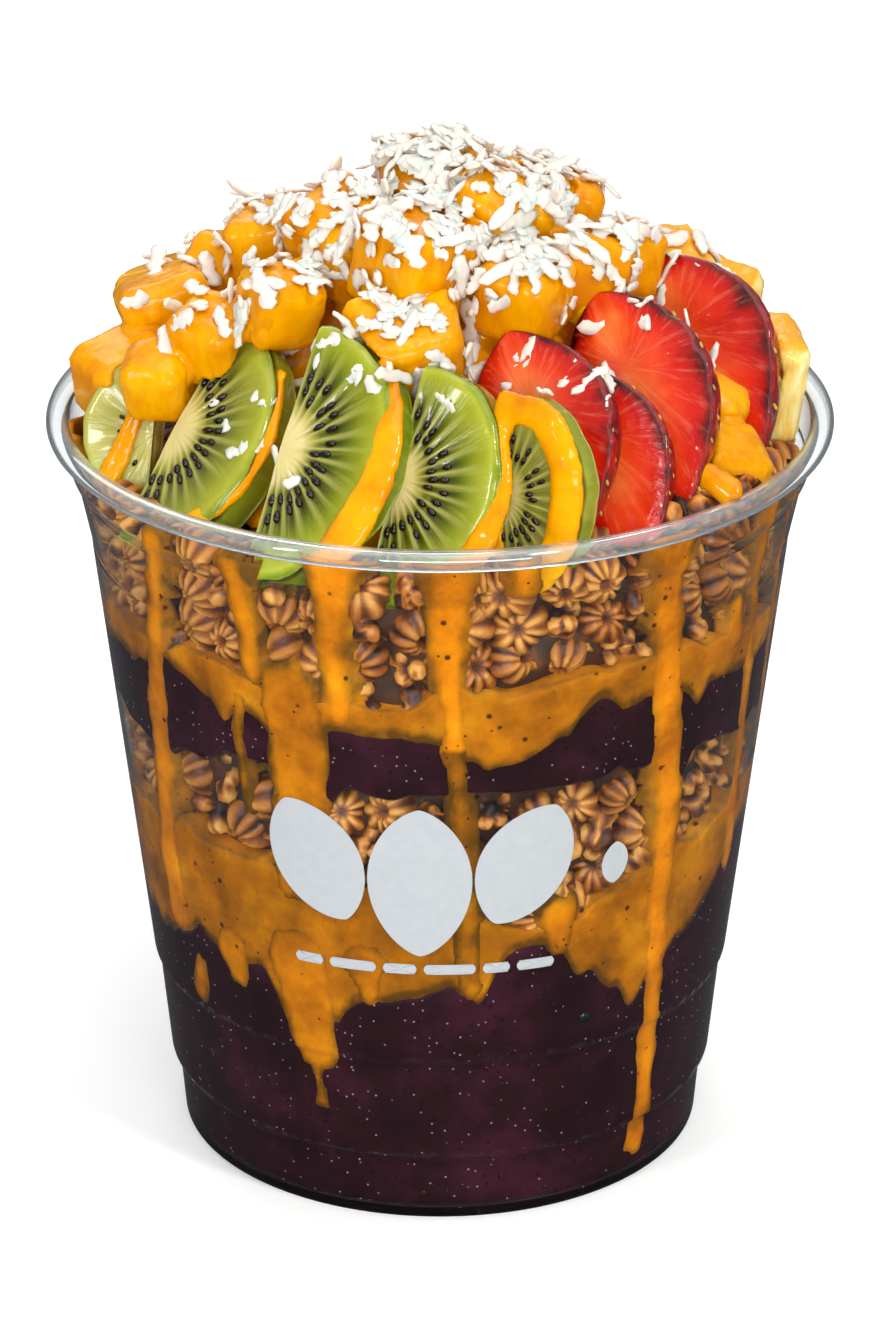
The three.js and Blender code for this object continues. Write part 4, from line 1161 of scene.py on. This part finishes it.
def make_kiwi(name, at, facing, rise, lean, scale, paleness, full_gaps, seeds):
    """A half slice: two cut sheets joined by a peeled side, with rays, seed pockets and seeds."""
    chance = random.Random(name)
    place = cut_face(at, facing, rise, lean, scale)
    angles = np.linspace(0, np.pi, 91)
    shares = np.concatenate([np.linspace(0.03, 0.93, 25), [0.965, 0.99, 1.0]])
    a, s = np.meshgrid(angles, shares, indexing="ij")
    phases = [chance.uniform(0, FULL_TURN) for _ in range(4)]
    outline = (1 + 0.022 * np.sin(3 * a + phases[0]) + 0.012 * np.sin(7 * a + phases[1])
               + 0.006 * np.sin(17 * a + phases[2]))
    x = KIWI_WIDTH * np.sin(a) * s * outline
    y = KIWI_LENGTH * np.cos(a) * s * outline
    reach = kiwi_reach(x, y, s)
    turn = a / np.pi
    wavy = turn + 0.012 * np.sin(9 * a + phases[2]) * s
    fade = np.clip((reach - 0.17) / 0.08, 0, 1) * np.clip((0.86 - reach) / 0.4, 0, 1)
    ray = np.abs(np.cos(np.pi * KIWI_GAPS * wavy)) ** 9 * fade
    spots = kiwi_seed_spots(chance, full_gaps)
    pocket = np.zeros(a.shape)
    for spot_turn, spot_reach in spots:
        beside = (turn - spot_turn) * KIWI_GAPS / 0.5
        along = (reach - spot_reach - 0.03) / 0.14
        pocket = np.maximum(pocket, np.exp(-beside ** 2 - along ** 2))

    core_rise = 0.45
    to_rim = ((s - 0.93) / 0.07).clip(0, 1)
    bulge = core_rise * np.exp(-(reach / 0.2) ** 4)
    edge_drop = 0.9 * (1 - np.sqrt(np.clip(1 - to_rim ** 2, 0, 1)))
    uneven = (0.16 * np.sin(5 * a + phases[3]) + 0.1 * np.sin(13 * a + phases[1])) * s
    top_z = bulge + 0.16 * ray - 0.22 * pocket - edge_drop + uneven
    low_z = -KIWI_THICK + 0.9 * to_rim ** 2
    top = np.stack([x, y, top_z], -1).reshape(-1, 3)
    under = np.stack([x * 0.985, y * 0.985, low_z], -1).reshape(-1, 3)
    upper = np.vstack([top, [[0, 0, core_rise]]])
    lower = np.vstack([under, [[0, 0, -KIWI_THICK]]])
    rows, columns = a.shape
    sheet = len(upper)
    faces = half_sheet_faces(rows, columns, 0)
    faces += [tuple(reversed(f)) for f in half_sheet_faces(rows, columns, sheet)]

    # The side: bands between the two sheets' edges, a little swelled where it was peeled.
    loop = [(rows - 1) * columns + c for c in range(columns - 1, -1, -1)] + [sheet - 1]
    loop += list(range(columns)) + [r * columns + columns - 1 for r in range(1, rows - 1)]
    bands = 5
    points = [upper, lower]
    rings = [loop]
    for band in range(1, bands):
        t = band / bands
        middle = upper[loop] * (1 - t) + lower[loop] * t
        middle[:, :2] *= np.where(middle[:, [0]] > 0.5, 1 + 0.02 * math.sin(math.pi * t), 1)
        first = 2 * sheet + (band - 1) * len(loop)
        points.append(middle)
        rings.append(list(range(first, first + len(loop))))
    rings.append([i + sheet for i in loop])
    for above, below in zip(rings, rings[1:]):
        for i in range(len(loop)):
            j = (i + 1) % len(loop)
            faces.append((above[i], above[j], below[j], below[i]))

    every = np.vstack(points)
    far = np.clip(np.hypot(every[:, 0] / KIWI_WIDTH, every[:, 1] / KIWI_LENGTH), 0, 1)
    rest = np.zeros(len(every) - sheet + 1)
    marks = {
        "reach": kiwi_reach(every[:, 0], every[:, 1], far),
        "turn": np.arctan2(every[:, 0] / KIWI_WIDTH, every[:, 1] / KIWI_LENGTH) / np.pi,
        "ray": np.concatenate([ray.ravel(), rest]) * 0.8,
        "pocket": np.concatenate([pocket.ravel(), rest]) * 0.85,
        "pale": np.full(len(every), paleness),
    }
    piece(name + "_flesh", settled(every, place), faces, KIWI, "kiwi", [name], marks)

    world = np.array(place)
    axes = world[:3, :3] / scale
    for spot_turn, spot_reach in spots:
        angle = spot_turn * np.pi
        aim = np.array([KIWI_WIDTH * np.sin(angle), KIWI_LENGTH * np.cos(angle), 0.0])
        spot = aim * spot_reach / math.hypot(np.sin(angle), core_squeeze(spot_reach) * np.cos(angle))
        centre = world[:3, :3] @ spot + world[:3, 3] / MM
        seeds.append(seed_body(centre, axes @ (aim / np.linalg.norm(aim)), axes[:, 2],
                               chance.uniform(1.7, 2.2) * scale, chance.uniform(0.95, 1.2) * scale,
                               0.9 * scale))


kiwi_seeds = []
for slice_name, values in KIWI_SLICES.items():
    make_kiwi(slice_name, *values, kiwi_seeds)
piece("kiwi_seeds", *joined(kiwi_seeds), KIWI_SEED, "kiwi")


def berry_girth(along):
    """A strawberry's girth from its broad end to its tip, as a share of the widest."""
    return np.sin(np.pi * np.clip(along, 0, 1) ** BERRY_BLUNT) ** BERRY_FULLNESS


def berry_pips(chance):
    """Where pips lie along and round the skin, in staggered rows."""
    pips = []
    rows = 11
    for row in range(rows):
        t = 0.07 + 0.86 * row / (rows - 1)
        count = max(3, round(8 * berry_girth(t)))
        for i in range(count):
            angle = (i + 0.5 * (row % 2) + 0.25) / count * np.pi + chance.uniform(-0.06, 0.06)
            pips.append((t + chance.uniform(-0.012, 0.012), min(max(angle, 0.05), np.pi - 0.05)))
    return pips


def make_strawberry(name, at, facing, rise, turn, scale, seeds):
    """A strawberry half: its skin, with each pip in a dimple, and a slightly domed cut face."""
    chance = random.Random(name)
    place = cut_face(at, facing, rise, turn, scale)
    stations, around_skin, across_face = 64, 34, 30
    along = np.sin(np.linspace(-np.pi / 2, np.pi / 2, stations)) * 0.5 + 0.5
    along = 0.004 + along * 0.992
    girth = berry_girth(along)
    phases = [chance.uniform(0, FULL_TURN) for _ in range(4)]
    half = BERRY_WIDTH / 2 * girth * (1 + 0.03 * np.sin(5 * along + phases[0]))
    lengthwise = BERRY_LENGTH * (0.5 - along)
    pips = berry_pips(chance)

    t_grid, turn_grid = np.meshgrid(along, np.linspace(0, np.pi, around_skin), indexing="ij")
    dimple = np.zeros(t_grid.shape)
    for pip_t, pip_turn in pips:
        reach_t = (t_grid - pip_t) * BERRY_LENGTH / 1.25
        reach_a = (turn_grid - pip_turn) * 12 * berry_girth(pip_t) / 1.15
        dimple = np.maximum(dimple, np.exp(-reach_t ** 2 - reach_a ** 2))
    skin_scale = 1 - 0.075 * dimple
    skin = np.stack([half[:, None] * np.cos(turn_grid) * skin_scale,
                     np.broadcast_to(lengthwise[:, None], turn_grid.shape),
                     -BERRY_DEPTH * girth[:, None] * np.sin(turn_grid) * skin_scale], -1)

    across = np.linspace(-1, 1, across_face + 2)[1:-1]
    t_face, across_grid = np.meshgrid(along, across, indexing="ij")
    dome = 0.55 * np.sqrt(np.clip(1 - across_grid ** 2, 0, 1)) * np.sqrt(girth)[:, None]
    hollow = 0.5 * np.exp(-(across_grid / 0.22) ** 2 - ((t_face - 0.3) / 0.2) ** 2)
    edge_pull = np.where(across_grid < 0, skin_scale[:, [-1]], skin_scale[:, [0]])
    face_x = half[:, None] * across_grid * edge_pull
    face = np.stack([face_x, np.broadcast_to(lengthwise[:, None], t_face.shape), dome - hollow], -1)

    rings = np.concatenate([skin, face], 1)
    ends = [[0, BERRY_LENGTH / 2, -0.4], [0, -BERRY_LENGTH / 2, -0.4]]
    points = np.vstack([rings.reshape(-1, 3), ends])
    faces = tube_faces(*rings.shape[:2])

    def over_both(skin_value, face_value, end_value):
        """A mark's values over the skin, the cut face and the two ends."""
        values = [np.broadcast_to(skin_value, skin.shape[:2]), np.broadcast_to(face_value, face.shape[:2])]
        return np.concatenate([np.concatenate(values, 1).ravel(), [end_value, end_value]])

    near_tip = np.abs(t_face - 0.42) / 0.58
    heart_y = BERRY_LENGTH * 0.16
    marks = {
        "reach": over_both(1.0, np.maximum(np.abs(across_grid) ** 1.25, near_tip ** 3.2), 1),
        "skin": over_both(1.0, 0.0, 1),
        "fan": over_both(0.0, np.arctan2(face[..., 0], face[..., 1] - heart_y) / np.pi, 1),
        "dimple": over_both(dimple, 0.0, 0),
    }
    piece(name + "_half", settled(points, place), faces, STRAWBERRY, "strawberry", [name], marks)

    world = np.array(place)
    axes = world[:3, :3] / scale
    sunk = 0.955
    for pip_t, pip_turn in pips:
        girth_here = berry_girth(pip_t) * sunk
        spot = np.array([BERRY_WIDTH / 2 * girth_here * np.cos(pip_turn), BERRY_LENGTH * (0.5 - pip_t),
                         -BERRY_DEPTH * girth_here * np.sin(pip_turn)])
        normal = np.array([np.cos(pip_turn) / BERRY_WIDTH * 2, 0, -np.sin(pip_turn) / BERRY_DEPTH])
        normal = axes @ (normal / np.linalg.norm(normal))
        out = axes[:, 1] - normal * (axes[:, 1] @ normal)
        centre = keep_in_room([world[:3, :3] @ spot + world[:3, 3] / MM])[0]
        seeds.append(seed_body(centre, out / np.linalg.norm(out), normal, 1.25 * scale, 0.75 * scale,
                               0.5 * scale))


strawberry_pips = []
for half_name, values in BERRY_HALVES.items():
    make_strawberry(half_name, *values, strawberry_pips)
piece("strawberry_pips", *joined(strawberry_pips), STRAWBERRY_SEED, "strawberry")

MANGO_NAMES = sorted(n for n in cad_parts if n.startswith("mango_") and n[-1].isdigit())
PINEAPPLE_NAMES = sorted(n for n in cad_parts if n.startswith("pineapple_"))


def make_chunk(name, material, lumps):
    """A block of fruit: the CAD node's body with softened edges and a lumpy skin."""
    mesh = melded([node_points(name)], 0.74, 1, lumps)
    set_coordinates(mesh, keep_in_room(mesh_coordinates(mesh), INTO_WALL_CHUNK))
    finish_piece(name + "_chunk", mesh, material, [name])


for chunk_name in MANGO_NAMES:
    make_chunk(chunk_name, MANGO, [(6.0, 0.4), (2.2, 0.12)])
for chunk_name in PINEAPPLE_NAMES:
    make_chunk(chunk_name, PINEAPPLE, [(5.0, 0.5), (1.6, 0.22)])

# ---------------------------------------------------------------- sauce over the heap


def swelled(name, share):
    """A CAD node's body, grown or shrunk about its middle."""
    points, faces = node_points(name)
    middle = (points.min(0) + points.max(0)) / 2
    return middle + (points - middle) * share, faces


def make_sauce_coat():
    """Sauce melted over the heap: it fills between the blocks and lies over some of their faces."""
    chance = random.Random(4)
    bodies = [swelled("fruit_heap", 1.0)]
    bodies += [swelled(n, chance.choice((0.88, 0.94, 0.98, 1.04))) for n in MANGO_NAMES]
    mesh = melded(bodies, 1.05, 11, [(9.0, 0.6), (3.5, 0.35)])
    set_coordinates(mesh, keep_in_room(mesh_coordinates(mesh), INTO_WALL_COAT))
    finish_piece("mango_sauce_coat", mesh, SAUCE, ["fruit_heap"])


make_sauce_coat()


def all_surfaces(names):
    """One search tree over the pieces' surfaces."""
    bodies = []
    for name in names:
        made = bpy.data.objects[name]
        points = [made.matrix_world @ v.co for v in made.data.vertices]
        bodies.append((points, [tuple(p.vertices) for p in made.data.polygons]))
    points, faces = joined(bodies)
    return BVHTree.FromPolygons(points.tolist(), faces)


FRUIT_PIECES = ([n + "_chunk" for n in MANGO_NAMES + PINEAPPLE_NAMES]
                + [n + "_flesh" for n in KIWI_SLICES] + [n + "_half" for n in BERRY_HALVES]
                + ["mango_sauce_coat"])
surfaces = all_surfaces(FRUIT_PIECES)


def drop_onto(around, out, height, lean):
    """Where a fall that leans inward meets the fruit near a point, and the surface's normal there."""
    turned, tilt = math.radians(around), math.radians(lean)
    start_away = 90
    aim = Vector((out * math.sin(turned), -out * math.cos(turned), height))
    back = Vector((math.sin(turned) * math.cos(tilt), -math.cos(turned) * math.cos(tilt), math.sin(tilt)))
    spot, normal, _, _ = surfaces.ray_cast((aim + back * start_away) * MM, -back)
    if spot is None:
        return None, None
    return np.array(spot) / MM, np.array(normal)


def curve_through(stops):
    """A smooth curve through rows of numbers, nine steps to each."""
    rows = np.array(stops, float)
    padded = np.vstack([2 * rows[0] - rows[1], rows, 2 * rows[-1] - rows[-2]])
    made = []
    for a, b, c, d in zip(padded, padded[1:], padded[2:], padded[3:]):
        for t in np.arange(9) / 9:
            made.append(0.5 * (2 * b + (c - a) * t + (2 * a - 5 * b + 4 * c - d) * t ** 2
                               + (3 * b - a - 3 * c + d) * t ** 3))
    made.append(rows[-1])
    return made


# Each stream: the slice it runs over, then (x, y, lift, radius) down its length.
STREAMS = [
    # Over the small pale slice at the far left.
    ("kiwi_slice_0", [(10, 12, 1, 3.4), (7, 4, 0.8, 3.2), (4, -6, 0.4, 2.4), (2, -13, 0, 1.6)]),
    # Down the first slice's side, thin.
    ("kiwi_slice_1", [(12, 13, -2.2, 1.6), (16.5, 3, -1.8, 2.0), (15.4, -6, -1.2, 1.9),
                      (11, -13, -0.6, 2.2)]),
    # Down the second slice's side, the widest stream.
    ("kiwi_slice_2", [(11.5, 14, -2, 1.8), (15.5, 7, -1.2, 2.4), (17.2, 0, -0.6, 2.9), (16.0, -8, -0.2, 3.2),
                      (13, -15, 0.2, 3.2)]),
    # Along the third slice's side.
    ("kiwi_slice_3", [(12.5, 12, -2.2, 1.8), (16.6, 4, -1.6, 2.1), (16.8, -5, -0.8, 2.5),
                      (13.5, -13, 0, 2.8)]),
    # Looped round the fourth slice, leaving its heart bare.
    ("kiwi_slice_4", [(0, 17, 0.6, 3.0), (8, 15.5, 0.6, 3.5), (12.5, 9, 0.4, 3.8), (14, 0, 0.2, 3.9),
                      (12.5, -8, 0.2, 3.7), (9, -14, 0.4, 3.4)]),
    ("kiwi_slice_4", [(0, 17, 0.6, 3.0), (-1.5, 9, 0.4, 2.2), (-1, 0, 0.2, 1.7), (-0.5, -9, 0.2, 1.8),
                      (2, -14, 0.4, 2.6)]),
    # From under the berries down to the rim.
    ("strawberry_1", [(-6, -14, 0.4, 1.8), (-5, -18, 0, 2.4)]),
    ("strawberry_3", [(5, -15, -1, 2.2), (7, -19, -2, 2.6)]),
]
PRESSED_FLAT = 0.45


def stream(slice_name, stops):
    """Blobs of sauce along a curve over a cut face, pressed flat."""
    values = KIWI_SLICES.get(slice_name) or BERRY_HALVES[slice_name]
    world = np.array(cut_face(*values[:5]))
    directions, faces = unit_sphere(5, 10)
    bodies = []
    for x, y, lift, radius in curve_through(stops):
        blob = directions * [radius, radius, radius * PRESSED_FLAT] + [x, y, lift]
        bodies.append((blob @ world[:3, :3].T + world[:3, 3] / MM, faces))
    return bodies


def make_streams():
    """Thick sauce that has run over the slices and down to the rim."""
    bodies = [body for slice_name, stops in STREAMS for body in stream(slice_name, stops)]
    mesh = melded(bodies, 0.6, 4, [(4.0, 0.45)])
    set_coordinates(mesh, keep_in_room(mesh_coordinates(mesh), INTO_WALL_STREAM))
    finish_piece("mango_sauce_streams", mesh, SAUCE)


make_streams()

# ---------------------------------------------------------------- shredded coconut


def shred(chance):
    """A torn flake of coconut 1 mm long, 1 mm wide and 1 mm thick, lying along X."""
    length, across = 10, 4
    s, w = np.meshgrid(np.linspace(-0.5, 0.5, length), np.linspace(-0.5, 0.5, across), indexing="ij")
    torn = np.array([[chance.uniform(0.5, 1.25) for _ in range(2)] for _ in range(length)])
    width = np.where(w < 0, torn[:, [0]], torn[:, [1]])
    taper = np.clip((0.5 - np.abs(s)) * 7 + 0.45, 0, 1)
    bend = chance.uniform(-0.5, 0.5)
    slant = chance.uniform(-0.12, 0.12)
    x = s + slant * w
    y = w * width * taper + bend * (s ** 2 - 0.08)
    curl = chance.uniform(-0.9, 0.9) * (s ** 2 - 0.08) + chance.uniform(-0.2, 0.2) * np.sin(s * 9)
    uneven = np.array([chance.uniform(0.6, 1.1) for _ in range(length * across)]).reshape(s.shape)
    thick = 0.5 * uneven * (1 - 0.5 * np.abs(2 * w) ** 3) * (0.4 + 0.6 * taper)
    top = np.stack([x, y, curl + thick], -1).reshape(-1, 3)
    bottom = np.stack([x, y, curl - thick], -1).reshape(-1, 3)
    sheet = length * across
    faces = [tuple(reversed(f)) for f in grid_faces(length, across)]
    faces += [tuple(i + sheet for i in f) for f in grid_faces(length, across)]
    loop = list(range(across)) + [r * across + across - 1 for r in range(1, length)]
    loop += [(length - 1) * across + c for c in range(across - 2, -1, -1)]
    loop += [r * across for r in range(length - 2, 0, -1)]
    for i, j in zip(loop, loop[1:] + loop[:1]):
        faces.append((i, j, j + sheet, i + sheet))
    return np.vstack([top, bottom]), faces


FLAKES = 740
COCONUT_TOP = 159.0
# No coconut lies lower than this, and the peak reaches this far out.
HEAP_LOW = 119
PEAK = 15


def make_coconut():
    """Flakes and crumbs strewn over the heap, thickest towards its top and over a drift in front."""
    chance = random.Random(21)
    flakes = []
    while len(flakes) < FLAKES:
        out = abs(chance.gauss(0, chance.choice((15, 20, 25, 29))))
        spot, normal = drop_onto(chance.uniform(-180, 180), out, 148 - 0.8 * out, chance.uniform(35, 90))
        if spot is None or spot[2] < HEAP_LOW or spot[2] > COCONUT_TOP - 2:
            continue
        far = math.hypot(spot[0], spot[1])
        in_drift = -75 < math.degrees(math.atan2(spot[0], -spot[1])) < 20
        if far < PEAK and chance.random() < 0.6:
            continue
        if far > 46 or (far > 27 and spot[2] < 131 and chance.random() < (0.3 if in_drift else 0.75)):
            continue
        shape, faces = shred(chance)
        crumb = chance.random() < 0.3
        longest = 6.4 if far < 14 else 9.2
        length = chance.uniform(1.9, 3.2) if crumb else chance.triangular(3.0, longest, 4.4)
        width = chance.uniform(1.5, 2.8)
        thick = chance.uniform(0.6, 1.0)
        spin = rotation(chance.uniform(0, FULL_TURN), "Z")
        lean = rotation(chance.gauss(0, 0.26), "Y") @ rotation(chance.gauss(0, 0.3), "X")
        upright = Vector((0, 0, 1)).rotation_difference(Vector(normal)).to_matrix()
        turned = np.array(upright @ spin @ lean)
        heaped = max(0.0, 1 - far / PEAK)
        above = chance.uniform(0.3, 0.9) + heaped * chance.uniform(0, 2.6)
        flake = (shape * [length, width, thick]) @ turned.T + spot + normal * above
        flake[:, 2] -= max(0.0, flake[:, 2].max() - COCONUT_TOP)
        flakes.append((flake, faces))
    piece("coconut_shreds", *joined(flakes), COCONUT)


make_coconut()

# ---------------------------------------------------------------- plain print and the bubble


def on_outer_wall(arc, height):
    """Print coordinates in millimetres, wrapped round the cup's outside and just proud of it."""
    return polar(outer_radius(height) + 0.05, np.degrees(arc / MEAN_RADIUS), height)


def print_shape(outline):
    """Points and faces of a filled shape, as rings of its outline that shrink to its middle."""
    outline = np.array(outline)
    middle = outline.mean(0)
    shares = np.linspace(1, 0, 12)[:-1]
    flat = np.vstack([middle + (outline - middle) * s for s in shares] + [middle])
    count = len(outline)
    hub = len(flat) - 1
    faces = grid_faces(len(shares), count, wrap=True)
    faces += [(hub - count + i, hub - count + (i + 1) % count, hub) for i in range(count)]
    return on_outer_wall(flat[:, 0], flat[:, 1]), faces


def half_circle(centre, radius, start):
    """Points of half a circle, from an angle onwards."""
    angles = np.radians(np.linspace(start, start + 180, 12))
    return [(centre[0] + radius * math.cos(a), centre[1] + radius * math.sin(a)) for a in angles]


def rounded_bar(centre, length, height):
    """A bar's outline with round ends."""
    r = height / 2
    right = half_circle((centre[0] + length / 2 - r, centre[1]), r, -90)
    left = half_circle((centre[0] - length / 2 + r, centre[1]), r, 90)
    along = centre[0] + np.linspace(-length / 2, length / 2, 30)[1:-1]
    top = [(x, centre[1] + r) for x in along[::-1]]
    bottom = [(x, centre[1] - r) for x in along]
    return right + top + left + bottom


def leaf(centre, length, width, lean):
    """A pointed leaf's outline, upright before it leans."""
    turned = math.radians(-lean)
    outline = []
    for t in np.linspace(0, 2 * math.pi, 64, endpoint=False):
        x = width / 2 * math.sin(t) * abs(math.sin(t)) ** 0.35
        z = length / 2 * math.cos(t)
        outline.append((centre[0] + x * math.cos(turned) - z * math.sin(turned),
                        centre[1] + x * math.sin(turned) + z * math.cos(turned)))
    return outline


def make_print():
    """Plain shapes in place of a printed name: three leaves, a drop and a row of dashes."""
    shapes = [print_shape(leaf((x, z), length, width, lean))
              for x, z, length, width, lean in ((-18.5, 62.5, 21.0, 14.0, -24), (-3.0, 60.0, 25.0, 15.5, 0),
                                                (12.5, 62.5, 21.0, 14.0, 24), (27.2, 60.0, 7.0, 4.6, 0))]
    place = -23.0
    for length in (4.6, 7.4, 5.2, 8.0, 4.2, 6.0):
        shapes.append(print_shape(rounded_bar((place + length / 2, 45.2), length, 1.7)))
        place += length + 1.1
    piece("plain_print", *joined(shapes), PRINT, "clear_pet")


make_print()


def make_bubble():
    """A dented air pocket nearly 4 mm wide, pressed on the wall: a solid piece painted dark as the shade
    inside the hollow.
    """
    around, height = 29.0, 33.7
    directions, faces = unit_sphere(11, 24)
    dented = 1 + 0.05 * np.sin(4 * directions[:, [0]] + 3 * directions[:, [2]])
    local = directions * dented * [1.9, 1.5, 1.6]
    centre = polar(float(inner_radius(height)) - 1.15, around, height)
    turned = np.array(rotation(math.radians(around), "Z"))
    piece("air_bubble_shade", local @ turned.T + centre, faces, BUBBLE_SHADE, "acai")


make_bubble()

# ---------------------------------------------------------------- floor, lights and camera


def make_stage():
    """A sweep of floor under a soft overhead light, with small lamps that put glints on wet fruit."""
    size, cells = 6000, 12
    line = np.linspace(-size / 2, size / 2, cells)
    x, y = np.meshgrid(line, line)
    points = np.stack([x, y, np.zeros(x.shape)], -1).reshape(-1, 3) * MM
    mesh = bpy.data.meshes.new("floor")
    mesh.from_pydata(points.tolist(), [], grid_faces(cells, cells))
    mesh.materials.append(FLOOR)
    floor = bpy.data.objects.new("floor", mesh)
    bpy.context.scene.collection.objects.link(floor)

    def area(name, place, target, size, power, colour):
        """A rectangular lamp aimed at a target."""
        light = bpy.data.lights.new(name, "AREA")
        light.shape = "RECTANGLE"
        light.size, light.size_y = size
        light.energy = power
        light.color = linear(colour)[:3]
        made = bpy.data.objects.new(name, light)
        made.location = place
        made.rotation_euler = (Vector(target) - Vector(place)).to_track_quat("-Z", "Y").to_euler()
        bpy.context.scene.collection.objects.link(made)

    middle = (0, 0, 0.08)
    area("key", (0.5, -0.65, 1.15), middle, (0.14, 0.14), 5, "#FFFDF8")
    area("overhead", (0.1, -0.1, 1.6), middle, (1.1, 1.1), 7, "#FFFFFF")
    area("front", (0.1, -1.3, 0.5), middle, (1.0, 0.3), 10, "#FFFDFA")
    area("fill", (-0.9, -0.9, 0.7), middle, (0.12, 0.4), 4, "#FAFBFF")
    area("back", (-0.2, 0.9, 0.9), middle, (0.9, 0.5), 4, "#FFFFFF")
    world = bpy.data.worlds.new("studio")
    world.use_nodes = True
    tree = world.node_tree
    height = add(tree, "ShaderNodeSeparateXYZ",
                 {"Vector": add(tree, "ShaderNodeTexCoord").outputs["Generated"]})
    share = add(tree, "ShaderNodeMapRange", {"Value": height.outputs["Z"], "From Min": -1.0})
    dome = add(tree, "ShaderNodeValToRGB", {"Fac": share.outputs["Result"]},
               stops=[(0.46, "#5A5C5F"), (0.53, "#9A9C9E"), (0.8, "#A0A2A4"), (0.9, "#D8DADC"),
                       (1.0, "#FFFFFF")])
    tree.links.new(dome.outputs["Color"], tree.nodes["Background"].inputs["Color"])
    tree.nodes["Background"].inputs["Strength"].default_value = 0.85
    bpy.context.scene.world = world


def make_camera():
    """Looks down about 24 degrees at the cup from its front, from nearly a metre away."""
    camera = bpy.data.cameras.new("camera")
    camera.sensor_fit = "VERTICAL"
    camera.sensor_height = 36
    camera.lens = 172.7
    made = bpy.data.objects.new("camera", camera)
    elevation, distance = math.radians(23.82), 0.9573
    middle = Vector((0, 0, 0.07454))
    away = Vector((0, -math.cos(elevation), math.sin(elevation))) * distance
    made.location = middle + away
    made.rotation_euler = (-away).to_track_quat("-Z", "Y").to_euler()
    bpy.context.scene.collection.objects.link(made)
    bpy.context.scene.camera = made


make_stage()
make_camera()
bpy.context.scene.view_settings.view_transform = "Standard"
